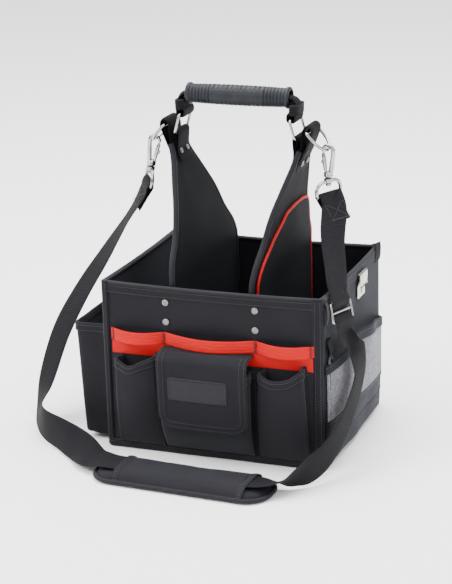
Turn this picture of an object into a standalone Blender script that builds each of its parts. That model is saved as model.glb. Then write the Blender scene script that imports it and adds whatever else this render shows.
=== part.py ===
"""Open tool carrier: a box-shaped fabric bag with two tall leaning dividers that
hold a rubber carrying grip, outside pockets, and a clip-on shoulder strap.

X runs along the long side, the front faces -Y, Z is up and the bag stands on Z = 0.
"""
import bpy
import bmesh
from math import atan2, cos, degrees, pi, radians, sin, sqrt
from mathutils import Matrix, Vector

# ---------------------------------------------------------------- driving dimensions
BAG_LENGTH = 0.280
BAG_DEPTH = 0.234
BAG_HEIGHT = 0.213
WALL = 0.0045
GAP = 0.0003
BASE_THICKNESS = 0.006
BINDING_HEIGHT = 0.0022
BINDING_WIDTH = 0.0055

DIVIDER_X = 0.050
DIVIDER_THICKNESS = 0.005
DIVIDER_HALF_DEPTH = 0.1108
DIVIDER_TOP = 0.360

GRIP_Z = 0.421
GRIP_LENGTH = 0.131
GRIP_RADIUS = 0.0132
GRIP_BORE = 0.0095

RING_LOW = Vector((0.0765, 0.0, 0.374))
RING_HIGH = Vector((0.0700, 0.0, 0.398))
RING_HALF = 0.0205
RING_WIRE = 0.0016

DEE_BAR = Vector((0.0905, 0.0, 0.384))
DEE_LOW = Vector((0.1110, 0.0, 0.361))
DEE_HALF = 0.0210
DEE_WIRE = 0.0018

HOOK_WIRE = 0.0022
HOOK_EYE = 0.0062
HOOK_EYE_Z = -0.0014
HOOK_BASE_TOP = -0.0270
HOOK_BASE_LOW = -0.0330
NECK_RADIUS = 0.0019
BAIL_BAR_Z = -0.0555
BAIL_HALF = 0.0215
BAIL_WIRE = 0.0021
LEFT_TILT = radians(11.0)
RIGHT_TILT = 0.0
LEFT_BAIL_TURN = radians(-55.0)
RIGHT_BAIL_TURN = radians(66.0)

POCKET_WALL = 0.002
POCKET_FLOOR_Z = 0.012
POCKET_TOP = 0.118
LINING_THICKNESS = 0.0012
LINING_TOP = 0.1402
CENTRE_POCKET_X = -0.002
CENTRE_POCKET_HALF = 0.057
CENTRE_POCKET_DEPTH = 0.026
SIDE_POCKET_DEPTH = 0.018
LOOP_LOW = 0.141
LOOP_HIGH = 0.156
LOOP_THICKNESS = 0.0015
LOOP_BARTACKS = (-0.126, -0.0585, 0.0575, 0.128)
LOOP_BULGES = (0.011, 0.013, 0.011)

FLAP_HALF = 0.057
FLAP_THICKNESS = 0.0025
FLAP_LOW = 0.040
FLAP_TOP = 0.1372
FLAP_HINGE_Y = -0.1345
FLAP_CORNER = 0.016

STRAP_WIDTH = 0.038
STRAP_THICKNESS = 0.0018
SLIDER = Vector((0.1515, -0.0825, 0.1900))
SLIDER_ALONG = Vector((-0.22, 0.12, 0.968)).normalized()
SLIDER_ACROSS = Vector((0.25, 0.90, -0.20))
RIVET_RADIUS = 0.0034
RIVET_HEIGHT = 0.0016
RIVET_X = 0.0565
RIVET_HEIGHTS = (0.168, 0.192)

FRONT_Y = -BAG_DEPTH / 2
REAR_Y = BAG_DEPTH / 2
SIDE_X = BAG_LENGTH / 2
FLAP_Y = FRONT_Y - GAP - LINING_THICKNESS - CENTRE_POCKET_DEPTH - 0.0021
ON_EDGE = Matrix.Rotation(pi / 2, 4, "X")

DIVIDER_LEAN = ((0.213, 0.0500), (0.235, 0.0520), (0.260, 0.0555), (0.290, 0.0605),
                (0.320, 0.0690), (0.345, 0.0765), (0.360, 0.0815))
DIVIDER_EDGE = ((0.213, 0.1108), (0.235, 0.1040), (0.260, 0.0830), (0.290, 0.0655),
                (0.320, 0.0460), (0.345, 0.0290), (0.360, 0.0225))
OVERLAY_EDGE = ((0.120, 0.1000), (0.200, 0.1000), (0.235, 0.0900), (0.260, 0.0690),
                (0.280, 0.0480), (0.295, 0.0230), (0.300, 0.0080))

# ------------------------------------------------------------------------- materials
FINISHES = {
    "black_fabric": ((0.020, 0.020, 0.024), 0.85, 0.0),
    "black_webbing": ((0.028, 0.028, 0.032), 0.8, 0.0),
    "red_webbing": ((0.62, 0.03, 0.02), 0.75, 0.0),
    "grey_mesh": ((0.32, 0.32, 0.36), 0.8, 0.0),
    "grip_rubber": ((0.09, 0.10, 0.12), 0.6, 0.0),
    "nickel": ((0.75, 0.75, 0.77), 0.2, 1.0),
    "black_plastic": ((0.015, 0.015, 0.017), 0.35, 0.0),
}


def finish(name):
    """Return the named finish, made the first time it is asked for."""
    material = bpy.data.materials.get(name)
    if material is None:
        colour, roughness, metallic = FINISHES[name]
        material = bpy.data.materials.new(name)
        material.use_nodes = True
        shader = material.node_tree.nodes["Principled BSDF"]
        shader.inputs["Base Color"].default_value = (*colour, 1.0)
        shader.inputs["Roughness"].default_value = roughness
        shader.inputs["Metallic"].default_value = metallic
    return material


# ----------------------------------------------------------------------- scene set-up
def clear_scene():
    for item in list(bpy.data.objects):
        bpy.data.objects.remove(item, do_unlink=True)


def new_collection(name):
    collection = bpy.data.collections.new(name)
    bpy.context.scene.collection.children.link(collection)
    return collection


def add(name, data, material_name, place=Matrix()):
    """Put a mesh or curve in the tool bag's collection as a named piece."""
    piece = bpy.data.objects.new(name, data)
    data.materials.append(finish(material_name))
    bag.objects.link(piece)
    piece.matrix_world = place
    return piece


def pivot(name, location, pieces):
    """Hang pieces on an empty that stands on their joint's axis."""
    empty = bpy.data.objects.new(name, None)
    empty.empty_display_size = 0.01
    bag.objects.link(empty)
    empty.location = location
    bpy.context.view_layer.update()
    for piece in pieces:
        world = piece.matrix_world.copy()
        piece.parent = empty
        piece.matrix_world = world
    return empty


# ----------------------------------------------------------------------- shape makers
def mesh_from(name, build):
    data = bpy.data.meshes.new(name)
    form = bmesh.new()
    build(form)
    form.to_mesh(data)
    form.free()
    return data


def box(name, low, high, material_name):
    """A plain box between two corners."""
    low, high = Vector(low), Vector(high)
    size = high - low
    grow = Matrix.Diagonal((*size, 1.0))
    data = mesh_from(name, lambda form: bmesh.ops.create_cube(form, size=1.0, matrix=grow))
    return add(name, data, material_name, Matrix.Translation((low + high) / 2))


def cylinder_mesh(name, radius, low, high, sides=16):
    """A capped cylinder on the Z axis."""
    middle = Matrix.Translation((0, 0, (low + high) / 2))
    return mesh_from(name, lambda form: bmesh.ops.create_cone(
        form, cap_ends=True, segments=sides, radius1=radius, radius2=radius,
        depth=high - low, matrix=middle))


def outline_curve(name, loops, thickness):
    """A flat outline, with any holes as further loops, thickened about its plane."""
    data = bpy.data.curves.new(name, "CURVE")
    data.dimensions = "2D"
    data.fill_mode = "BOTH"
    data.extrude = thickness / 2
    for loop in loops:
        spline = data.splines.new("POLY")
        spline.points.add(len(loop) - 1)
        for point, (u, v) in zip(spline.points, loop):
            point.co = (u, v, 0.0, 1.0)
        spline.use_cyclic_u = True
    return data


def wire_curve(name, points, radius, closed, resolution=2):
    """A round wire or tube along a chain of points."""
    data = bpy.data.curves.new(name, "CURVE")
    data.dimensions = "3D"
    data.bevel_depth = radius
    data.bevel_resolution = resolution
    data.use_fill_caps = True
    spline = data.splines.new("POLY")
    spline.points.add(len(points) - 1)
    for point, place in zip(spline.points, points):
        point.co = (*place, 1.0)
    spline.use_cyclic_u = closed
    return data


def arc(centre, radius, start, end, steps):
    """Points of an arc in a plane; the angles are in degrees."""
    turn = [radians(start + (end - start) * i / steps) for i in range(steps + 1)]
    return [(centre[0] + radius * cos(a), centre[1] + radius * sin(a)) for a in turn]


def smooth(points, steps):
    """Read a Catmull-Rom curve through the points, with steps spans between each two."""
    points = [Vector(p) for p in points]
    chain = [2 * points[0] - points[1], *points, 2 * points[-1] - points[-2]]
    result = []
    for before, start, end, after in zip(chain, chain[1:], chain[2:], chain[3:]):
        for i in range(steps):
            t = i / steps
            result.append(0.5 * (2 * start + (end - before) * t
                                 + (2 * before - 5 * start + 4 * end - after) * t ** 2
                                 + (3 * start - before - 3 * end + after) * t ** 3))
    return [*result, points[-1]]


def ribbon_mesh(name, centres, acrosses, halves, thickness):
    """A flat band: centres of its sections, their directions across and half widths."""
    def build(form):
        rows = []
        last = len(centres) - 1
        for i, (centre, across, half) in enumerate(zip(centres, acrosses, halves)):
            along = (centres[min(i + 1, last)] - centres[max(i - 1, 0)]).normalized()
            across = (across - along * across.dot(along)).normalized()
            face = along.cross(across)
            corners = ((1, 1), (1, -1), (-1, -1), (-1, 1))
            rows.append([form.verts.new(centre + across * half * a + face * thickness / 2 * f)
                         for a, f in corners])
        for row, following in zip(rows, rows[1:]):
            for i in range(4):
                j = (i + 1) % 4
                form.faces.new((row[i], row[j], following[j], following[i]))
        form.faces.new(rows[0])
        form.faces.new(rows[-1])
        bmesh.ops.recalc_face_normals(form, faces=form.faces)
        bmesh.ops.triangulate(form, faces=form.faces, quad_method="SHORT_EDGE")
    return mesh_from(name, build)


def strap(name, stations, steps=3):
    """Webbing through stations of (centre, direction across)."""
    centres = smooth([s[0] for s in stations], steps)
    acrosses = smooth([s[1] for s in stations], steps)
    halves = [STRAP_WIDTH / 2] * len(centres)
    return add(name, ribbon_mesh(name, centres, acrosses, halves, STRAP_THICKNESS),
               "black_webbing")


def stroke(points, halves):
    """The outline of a thick line: round at its last point, square at its first."""
    left, right = [], []
    last = len(points) - 1
    for i, (point, half) in enumerate(zip(points, halves)):
        along = (Vector(points[min(i + 1, last)]) - Vector(points[max(i - 1, 0)])).normalized()
        side = Vector((-along.y, along.x)) * half
        left.append(tuple(Vector(point) + side))
        right.append(tuple(Vector(point) - side))
    turn = degrees(atan2(along.y, along.x))
    cap = arc(points[-1], halves[-1], turn + 72, turn - 72, 6)
    return [*left, *cap, *reversed(right)]


def cutter(data, place=Matrix()):
    tool = bpy.data.objects.new("cutter_" + data.name, data)
    cutters.objects.link(tool)
    tool.matrix_world = place
    tool.hide_render = True
    tool.display_type = "WIRE"
    return tool


def combine(piece, tool, operation):
    change = piece.modifiers.new(operation.lower(), "BOOLEAN")
    change.operation = operation
    change.object = tool
    change.solver = "EXACT"


def solid_from_curve(data):
    """Turn a curve into a closed mesh, so that it can take a Boolean."""
    guide = bpy.data.objects.new("guide", data)
    bpy.context.scene.collection.objects.link(guide)
    graph = bpy.context.evaluated_depsgraph_get()
    result = bpy.data.meshes.new_from_object(guide.evaluated_get(graph))
    bpy.data.objects.remove(guide, do_unlink=True)
    form = bmesh.new()
    form.from_mesh(result)
    bmesh.ops.remove_doubles(form, verts=form.verts, dist=0.00001)
    form.to_mesh(result)
    form.free()
    return result


def box_mesh(name, low, high):
    low, high = Vector(low), Vector(high)
    shape = Matrix.Translation((low + high) / 2) @ Matrix.Diagonal((*(high - low), 1.0))
    return mesh_from(name, lambda form: bmesh.ops.create_cube(form, size=1.0, matrix=shape))


def interpolate(table, at):
    """Read a smooth value from a table of (position, value) pairs."""
    if at <= table[0][0]:
        return table[0][1]
    for i in range(len(table) - 1):
        (a, start), (b, end) = table[i], table[i + 1]
        if at <= b:
            before = table[max(i - 1, 0)][1]
            after = table[min(i + 2, len(table) - 1)][1]
            t = (at - a) / (b - a)
            return 0.5 * (2 * start + (end - before) * t
                          + (2 * before - 5 * start + 4 * end - after) * t ** 2
                          + (3 * start - before - 3 * end + after) * t ** 3)
    return table[-1][1]


# ------------------------------------------------------------------------ bag's shell
def make_shell():
    """Base, four padded walls and the binding sewn round their top edges."""
    wall_top = BAG_HEIGHT - BINDING_HEIGHT - GAP
    inner_x = SIDE_X - WALL
    inner_y = REAR_Y - WALL
    box("base_panel", (-inner_x + GAP, -inner_y + GAP, 0.0),
        (inner_x - GAP, inner_y - GAP, BASE_THICKNESS), "black_fabric")
    box("front_wall", (-SIDE_X, FRONT_Y, 0.0), (SIDE_X, -inner_y, wall_top), "black_fabric")
    box("rear_wall", (-SIDE_X, inner_y, 0.0), (SIDE_X, REAR_Y, wall_top), "black_fabric")
    box("left_wall", (-SIDE_X, -inner_y + GAP, 0.0),
        (-inner_x, inner_y - GAP, wall_top), "black_fabric")
    box("right_wall", (inner_x, -inner_y + GAP, 0.0),
        (SIDE_X, inner_y - GAP, wall_top), "black_fabric")
    make_rim_binding()


def rectangle(half_u, half_v):
    return [(-half_u, -half_v), (half_u, -half_v), (half_u, half_v), (-half_u, half_v)]


def make_rim_binding():
    outer = rectangle(SIDE_X, REAR_Y)
    inner = rectangle(SIDE_X - BINDING_WIDTH, REAR_Y - BINDING_WIDTH)
    middle = Matrix.Translation((0, 0, BAG_HEIGHT - BINDING_HEIGHT / 2))
    add("rim_binding", outline_curve("rim_binding", [outer, inner], BINDING_HEIGHT),
        "black_fabric", middle)


# --------------------------------------------------------------------------- dividers
def divider_heights():
    bottom = BASE_THICKNESS + GAP
    leaning = [BAG_HEIGHT + (DIVIDER_TOP - BAG_HEIGHT) * i / 12 for i in range(13)]
    return [bottom, BAG_HEIGHT / 2, *leaning]


def make_divider(side, mirror):
    """A padded panel across the bag that rises, narrows and leans outwards."""
    heights = divider_heights()
    centres = [Vector((mirror * interpolate(DIVIDER_LEAN, z), 0, z)) for z in heights]
    acrosses = [Vector((0, 1, 0))] * len(heights)
    halves = [interpolate(DIVIDER_EDGE, z) for z in heights]
    name = side + "_divider"
    add(name, ribbon_mesh(name, centres, acrosses, halves, DIVIDER_THICKNESS), "black_fabric")


def make_divider_pocket(side, mirror):
    """The arched overlay on a divider's outer face, edged with red tape."""
    thickness = 0.0025
    stand_off = DIVIDER_THICKNESS / 2 + GAP + thickness / 2 + 0.0004
    heights = [0.120 + 0.180 * i / 14 for i in range(15)]
    centres = [Vector((mirror * (interpolate(DIVIDER_LEAN, z) + stand_off), 0, z))
               for z in heights]
    acrosses = [Vector((0, 1, 0))] * len(heights)
    halves = [interpolate(OVERLAY_EDGE, z) for z in heights]
    name = side + "_divider_pocket"
    add(name, ribbon_mesh(name, centres, acrosses, halves, thickness), "black_fabric")


# ------------------------------------------------------------------------------ rivets
def make_rivet(name, place):
    """A domed rivet head whose flat side lies at local Z = 0."""
    data = mesh_from(name, lambda form: bmesh.ops.create_cone(
        form, cap_ends=True, segments=12, radius1=RIVET_RADIUS, radius2=RIVET_RADIUS * 0.6,
        depth=RIVET_HEIGHT, matrix=Matrix.Translation((0, 0, RIVET_HEIGHT / 2))))
    add(name, data, "nickel", place)


def make_wall_rivets():
    """Four rivets through the front wall and four through the rear wall."""
    number = 0
    for mirror in (-1, 1):
        for height in RIVET_HEIGHTS:
            number += 1
            front = Matrix.Translation((mirror * RIVET_X, FRONT_Y - GAP, height))
            rear = Matrix.Translation((mirror * RIVET_X, REAR_Y + GAP, height))
            make_rivet(f"front_rivet_{number}", front @ ON_EDGE)
            make_rivet(f"rear_rivet_{number}", rear @ Matrix.Rotation(-pi / 2, 4, "X"))


def make_tab_rivets(side, mirror):
    """Two rivets that clamp the ring tab to the divider's inner face."""
    height = 0.350
    face = interpolate(DIVIDER_LEAN, height) - DIVIDER_THICKNESS / 2 - 0.0055
    inwards = Matrix.Rotation(-mirror * pi / 2, 4, "Y")
    lean = Matrix.Rotation(mirror * radians(15.0), 4, "Y")
    for number, y in enumerate((-0.010, 0.010), start=1):
        place = Matrix.Translation((mirror * face, y, height))
        make_rivet(f"{side}_tab_rivet_{number}", place @ lean @ inwards)


# ----------------------------------------------------------------- pockets and webbing
def make_pocket(name, low, high, open_side, material_name="black_fabric"):
    """A tray-shaped pocket: open at its top and towards the wall behind it."""
    piece = box(name, low, high, material_name)
    inner_low = Vector(low) + Vector((POCKET_WALL,) * 3)
    inner_high = Vector(high) - Vector((POCKET_WALL,) * 3)
    inner_high.z = high[2] + POCKET_WALL
    axis = {"x": 0, "y": 1}[open_side[1]]
    if open_side[0] == "+":
        inner_high[axis] = high[axis] + POCKET_WALL
    else:
        inner_low[axis] = low[axis] - POCKET_WALL
    combine(piece, cutter(box_mesh(name, inner_low, inner_high)), "DIFFERENCE")


def make_front_pockets():
    back = FRONT_Y - GAP - LINING_THICKNESS - GAP
    box("pocket_lining", (-0.128, FRONT_Y - GAP - LINING_THICKNESS, 0.014),
        (0.128, FRONT_Y - GAP, LINING_TOP), "red_webbing")
    left_edge = CENTRE_POCKET_X - CENTRE_POCKET_HALF
    right_edge = CENTRE_POCKET_X + CENTRE_POCKET_HALF
    space = 0.0015
    make_pocket("front_pocket_left", (-0.127, back - SIDE_POCKET_DEPTH, POCKET_FLOOR_Z),
                (left_edge - space, back, POCKET_TOP), "+y")
    make_pocket("front_pocket_centre", (left_edge, back - CENTRE_POCKET_DEPTH, POCKET_FLOOR_Z),
                (right_edge, back, POCKET_TOP), "+y")
    make_pocket("front_pocket_right", (right_edge + space, back - SIDE_POCKET_DEPTH, POCKET_FLOOR_Z),
                (0.127, back, POCKET_TOP), "+y")


def make_other_pockets():
    make_pocket("left_side_pocket", (-0.186, -0.100, 0.010), (-SIDE_X - GAP, 0.100, 0.150), "+x")
    make_pocket("mesh_pocket", (SIDE_X + GAP, -0.090, 0.010), (0.158, 0.108, 0.136), "-x",
                "grey_mesh")
    make_pocket("rear_pocket", (-0.122, REAR_Y + GAP, 0.012), (0.098, 0.136, 0.125), "-y")


def make_tool_loops():
    """One red band, tacked to the wall at four places and bulging between them."""
    centres = []
    for (start, end), bulge in zip(zip(LOOP_BARTACKS, LOOP_BARTACKS[1:]), LOOP_BULGES):
        for i in range(12):
            t = i / 12
            y = FRONT_Y - GAP - LOOP_THICKNESS / 2 - 0.0003 - bulge * sin(pi * t)
            centres.append(Vector((start + (end - start) * t, y, (LOOP_LOW + LOOP_HIGH) / 2)))
    centres.append(Vector((LOOP_BARTACKS[-1], centres[0].y, centres[0].z)))
    acrosses = [Vector((0, 0, 1))] * len(centres)
    halves = [(LOOP_HIGH - LOOP_LOW) / 2] * len(centres)
    data = ribbon_mesh("tool_loop_webbing", centres, acrosses, halves, LOOP_THICKNESS)
    add("tool_loop_webbing", data, "red_webbing")


def make_flap():
    """The pocket lid: its sewn seam, the curved root over the mouth and the panel."""
    across = Vector((1, 0, 0))
    bend = FLAP_HINGE_Y - FLAP_Y
    fold = Vector((CENTRE_POCKET_X, FLAP_Y, FLAP_TOP - bend))
    hinge = Vector((CENTRE_POCKET_X, FLAP_HINGE_Y, FLAP_TOP))
    box("flap_seam", (CENTRE_POCKET_X - FLAP_HALF, hinge.y + 0.0017, hinge.z - FLAP_THICKNESS / 2),
        (CENTRE_POCKET_X + FLAP_HALF, FRONT_Y - 2 * GAP - LINING_THICKNESS,
         hinge.z + FLAP_THICKNESS / 2), "black_fabric")
    rows = [Vector((0, -bend * sin(pi * i / 16), bend * (cos(pi * i / 16) - 1)))
            for i in range(9)]
    data = ribbon_mesh("flap_root", rows, [across] * len(rows), [FLAP_HALF] * len(rows),
                       FLAP_THICKNESS)
    root = add("flap_root", data, "black_fabric", Matrix.Translation(hinge))
    pivot("flap_lift", hinge, [root])
    centres, halves = [], []
    top = fold.z - 0.0018
    corner_z = FLAP_LOW + FLAP_CORNER
    for z in (top, (top + corner_z) / 2):
        centres.append(Vector((0, 0, z - fold.z)))
        halves.append(FLAP_HALF)
    for i in range(7):
        turn = radians(84.0 * i / 6)
        centres.append(Vector((0, 0, corner_z - FLAP_CORNER * sin(turn) - fold.z)))
        halves.append(FLAP_HALF - FLAP_CORNER * (1 - cos(turn)))
    data = ribbon_mesh("pocket_flap", centres, [across] * len(centres), halves, FLAP_THICKNESS)
    flap = add("pocket_flap", data, "black_fabric", Matrix.Translation(fold))
    badge_y = fold.y - FLAP_THICKNESS / 2 - GAP
    badge = box("flap_badge", (-0.0445, badge_y - 0.001, 0.0815),
                (0.0310, badge_y, 0.1105), "black_fabric")
    pivot("flap_fold", fold, [flap, badge])


def make_tape_clip():
    """The nickel plate on the right wall that a tape measure's clip hooks over."""
    box("tape_clip_plate", (SIDE_X + GAP, 0.018, 0.176), (SIDE_X + GAP + 0.0015, 0.050, 0.198),
        "nickel")


def make_tape_strap():
    """A narrow webbing strap on the rear wall that carries rolls of tape."""
    top = Vector((0.116, REAR_Y + GAP + 0.0022, 0.190))
    data = box_mesh("tape_strap", (-0.010, -0.0018, -0.105), (0.010, 0.0018, -0.001))
    piece = add("tape_strap", data, "black_webbing", Matrix.Translation(top))
    pivot("tape_strap_swing", top, [piece])


def make_key_clip():
    """A plastic link that hangs from a short webbing tab on the right wall."""
    box("key_clip_tab", (SIDE_X + GAP, -0.108, 0.1435), (SIDE_X + 0.0052, -0.094, 0.160),
        "black_webbing")
    hang = Vector((SIDE_X + 0.0032, -0.101, 0.1425))
    outer = [*arc((0, -0.0065), 0.0060, 0, 180, 8), *arc((0, -0.0420), 0.0060, 180, 360, 8)]
    inner = [*arc((0, -0.0065), 0.0032, 0, 180, 8), *arc((0, -0.0420), 0.0032, 180, 360, 8)]
    upright = Matrix.Rotation(pi / 2, 4, "Z") @ ON_EDGE
    data = outline_curve("key_clip", [outer, inner], 0.004)
    piece = add("key_clip", data, "black_plastic", Matrix.Translation(hang) @ upright)
    pivot("key_clip_swing", hang, [piece])


# ----------------------------------------------------------------- handle and its rings
def ring_points(corner=0.004):
    """A rectangle with round corners, from the low bar up to the high bar."""
    height = (RING_HIGH - RING_LOW).length
    points = []
    for u, v, start in ((1, 0, -90), (1, 1, 0), (-1, 1, 90), (-1, 0, 180)):
        centre = (u * (RING_HALF - corner), corner + v * (height - 2 * corner))
        points += arc(centre, corner, start, start + 90, 3)
    return points


def make_ring(side, mirror):
    """The rectangular ring between a divider's tab and the handle webbing."""
    low = Vector((mirror * RING_LOW.x, 0, RING_LOW.z))
    up = Vector((mirror * (RING_HIGH.x - RING_LOW.x), 0, RING_HIGH.z - RING_LOW.z)).normalized()
    points = [Vector((0, u, 0)) + up * v for u, v in ring_points()]
    name = side + "_ring"
    piece = add(name, wire_curve(name, points, RING_WIRE, True), "nickel",
                Matrix.Translation(low))
    pivot(side + "_ring_swing", low, [piece])


def make_eye_strap(name, points, halves, hole, width):
    """Webbing folded round a bar and sewn: a thick line with a round hole at its end."""
    loops = [stroke(points, halves), arc(points[-1], hole, 0, 315, 7)]
    add(name, outline_curve(name, loops, width), "black_webbing", ON_EDGE)


def make_ring_tab(side, mirror):
    inner_face = DIVIDER_THICKNESS / 2 + GAP + 0.0020
    low = interpolate(DIVIDER_LEAN, 0.338) - inner_face
    middle = interpolate(DIVIDER_LEAN, 0.352) - inner_face
    points = [(mirror * low, 0.338), (mirror * middle, 0.352),
              (mirror * RING_LOW.x, RING_LOW.z)]
    make_eye_strap(side + "_ring_tab", points, [0.0016, 0.0017, 0.0041], 0.0024, 0.036)


def make_dee_loop(side, mirror):
    low = (mirror * (interpolate(DIVIDER_LEAN, DIVIDER_TOP) + 0.0008), DIVIDER_TOP + 0.0012)
    points = [low, (mirror * DEE_BAR.x, DEE_BAR.z)]
    make_eye_strap(side + "_dee_loop", points, [0.0024, 0.0045], 0.0027, 0.037)


def make_dee(side, mirror):
    """A D-shaped ring whose straight bar lies in the divider's top loop."""
    bar = Vector((mirror * DEE_BAR.x, 0, DEE_BAR.z))
    down = Vector((mirror * DEE_LOW.x, 0, DEE_LOW.z)) - bar
    depth = down.length
    down.normalize()
    bow = arc((0, depth - DEE_HALF), DEE_HALF, 0, 180, 12)
    outline = [(DEE_HALF - 0.001, 0), (DEE_HALF, 0.002), *bow, (-DEE_HALF, 0.002),
               (0.001 - DEE_HALF, 0)]
    points = [Vector((0, u, 0)) + down * v for u, v in outline]
    name = side + "_dee"
    piece = add(name, wire_curve(name, points, DEE_WIRE, True), "nickel",
                Matrix.Translation(bar))
    pivot(side + "_dee_swing", bar, [piece])


def make_handle():
    """Webbing from ring to ring through the grip, and the moulded grip itself."""
    half = GRIP_LENGTH / 2
    bend = smooth([(-half, GRIP_Z, 0), (-half - 0.0075, GRIP_Z - 0.0012, 0),
                   (-half - 0.0120, GRIP_Z - 0.0080, 0), (-half - 0.0085, GRIP_Z - 0.0175, 0),
                   (-RING_HIGH.x, RING_HIGH.z, 0)], 3)
    left = [(p.x, p.y) for p in bend]
    halves = [0.0015] * (len(left) - 3) + [0.0020, 0.0030, 0.0041]
    left_end = stroke(left, halves)
    right_end = [(-u, v) for u, v in reversed(left_end)]
    outline = [*left_end, *right_end]
    holes = [arc((m * RING_HIGH.x, RING_HIGH.z), 0.0024, 0, 315, 7) for m in (-1, 1)]
    data = outline_curve("handle_webbing", [outline, *holes], 0.016)
    webbing = add("handle_webbing", data, "black_webbing", ON_EDGE)
    pivot("handle_pivot", (-RING_HIGH.x, 0, RING_HIGH.z), [webbing])
    make_grip(half)


def make_grip(half):
    flange = 0.0040
    outer = [(GRIP_RADIUS, half), (GRIP_RADIUS, half - flange), (0.0117, half - flange - 0.001),
             (0.0128, half / 3), (0.0128, -half / 3), (0.0117, flange + 0.001 - half),
             (GRIP_RADIUS, flange - half), (GRIP_RADIUS, -half)]
    profile = [*outer, (GRIP_BORE, -half), (GRIP_BORE, half)]

    def build(form):
        corners = [form.verts.new((r, 0, z)) for r, z in profile]
        for corner, following in zip(corners, corners[1:] + corners[:1]):
            form.edges.new((corner, following))
    piece = add("grip", mesh_from("grip", build), "grip_rubber",
                Matrix.Translation((0, 0, GRIP_Z)) @ Matrix.Rotation(pi / 2, 4, "Y"))
    turn = piece.modifiers.new("turn", "SCREW")
    turn.steps = 24
    turn.render_steps = 24
    turn.use_merge_vertices = True
    turn.merge_threshold = 0.00001
    turn.use_smooth_shade = True


# ------------------------------------------------------------------- hooks and strap
def hook_frame(side):
    """Place of a hook: its eye hangs on the dee's lowest point."""
    mirror, tilt = {"left": (-1, LEFT_TILT), "right": (1, RIGHT_TILT)}[side]
    place = Matrix.Translation((mirror * DEE_LOW.x, 0, DEE_LOW.z))
    return place @ Matrix.Rotation(tilt, 4, "Y")


def make_hook(side, mirror):
    """A swivel snap hook: eye and spine, gate, neck with its head, and bail."""
    place = hook_frame(side)
    spine = [(-0.0034, HOOK_BASE_TOP - 0.002), (-0.0042, -0.020), (-0.0056, -0.010)]
    eye = arc((0, HOOK_EYE_Z), HOOK_EYE, 185, -12, 14)
    path = [Vector((-mirror * u, 0, v)) for u, v in (*spine, *eye)]
    hook = add(side + "_hook", solid_from_curve(wire_curve("spine", path, HOOK_WIRE, False)),
               "nickel", place)
    for data in (cylinder_mesh("base", 0.0056, HOOK_BASE_LOW, HOOK_BASE_TOP),
                 cylinder_mesh("neck", NECK_RADIUS, -0.0420, HOOK_BASE_LOW + 0.001),
                 cylinder_mesh("head", 0.0034, -0.0440, -0.0412)):
        combine(hook, cutter(data, place), "UNION")
    gate_low = Vector((-mirror * 0.0034, 0, HOOK_BASE_TOP + 0.0022))
    nose = Vector((-mirror * eye[-1][0], 0, eye[-1][1]))
    gate_top = nose - Vector((0, 0, 0.0030)) - Vector((-mirror * 0.0004, 0, 0))
    gate = add(side + "_gate", wire_curve(side + "_gate", [Vector(), gate_top - gate_low],
                                          0.0015, False), "nickel",
               place @ Matrix.Translation(gate_low))
    pivot(side + "_gate_hinge", place @ gate_low, [gate])
    make_bail(side, place)
    return hook


def make_bail(side, place):
    turn = {"left": LEFT_BAIL_TURN, "right": RIGHT_BAIL_TURN}[side]
    place = place @ Matrix.Rotation(turn, 4, "Z")
    boss_low, boss_high = -0.0402, -0.0346
    arch_top = (boss_low + boss_high) / 2
    rise = arch_top - BAIL_BAR_Z
    arch = [(BAIL_HALF * cos(pi * i / 16), BAIL_BAR_Z + rise * sqrt(sin(pi * i / 16)))
            for i in range(17)]
    points = [Vector((u, 0, v)) for u, v in arch]
    name = side + "_bail"
    bail = add(name, solid_from_curve(wire_curve(name, points, BAIL_WIRE, True)), "nickel", place)
    combine(bail, cutter(cylinder_mesh("boss", 0.0052, boss_low, boss_high), place), "UNION")
    combine(bail, cutter(cylinder_mesh("bore", 0.0024, -0.050, -0.030), place), "DIFFERENCE")


def bail_start(side, drop):
    """A point below a bail's bar, and the direction along that bar."""
    turn = {"left": LEFT_BAIL_TURN, "right": RIGHT_BAIL_TURN}[side]
    place = hook_frame(side) @ Matrix.Rotation(turn, 4, "Z")
    point = place @ Vector((0, 0, BAIL_BAR_Z - BAIL_WIRE - drop))
    return point, (place.to_3x3() @ Vector((1, 0, 0)))


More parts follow.
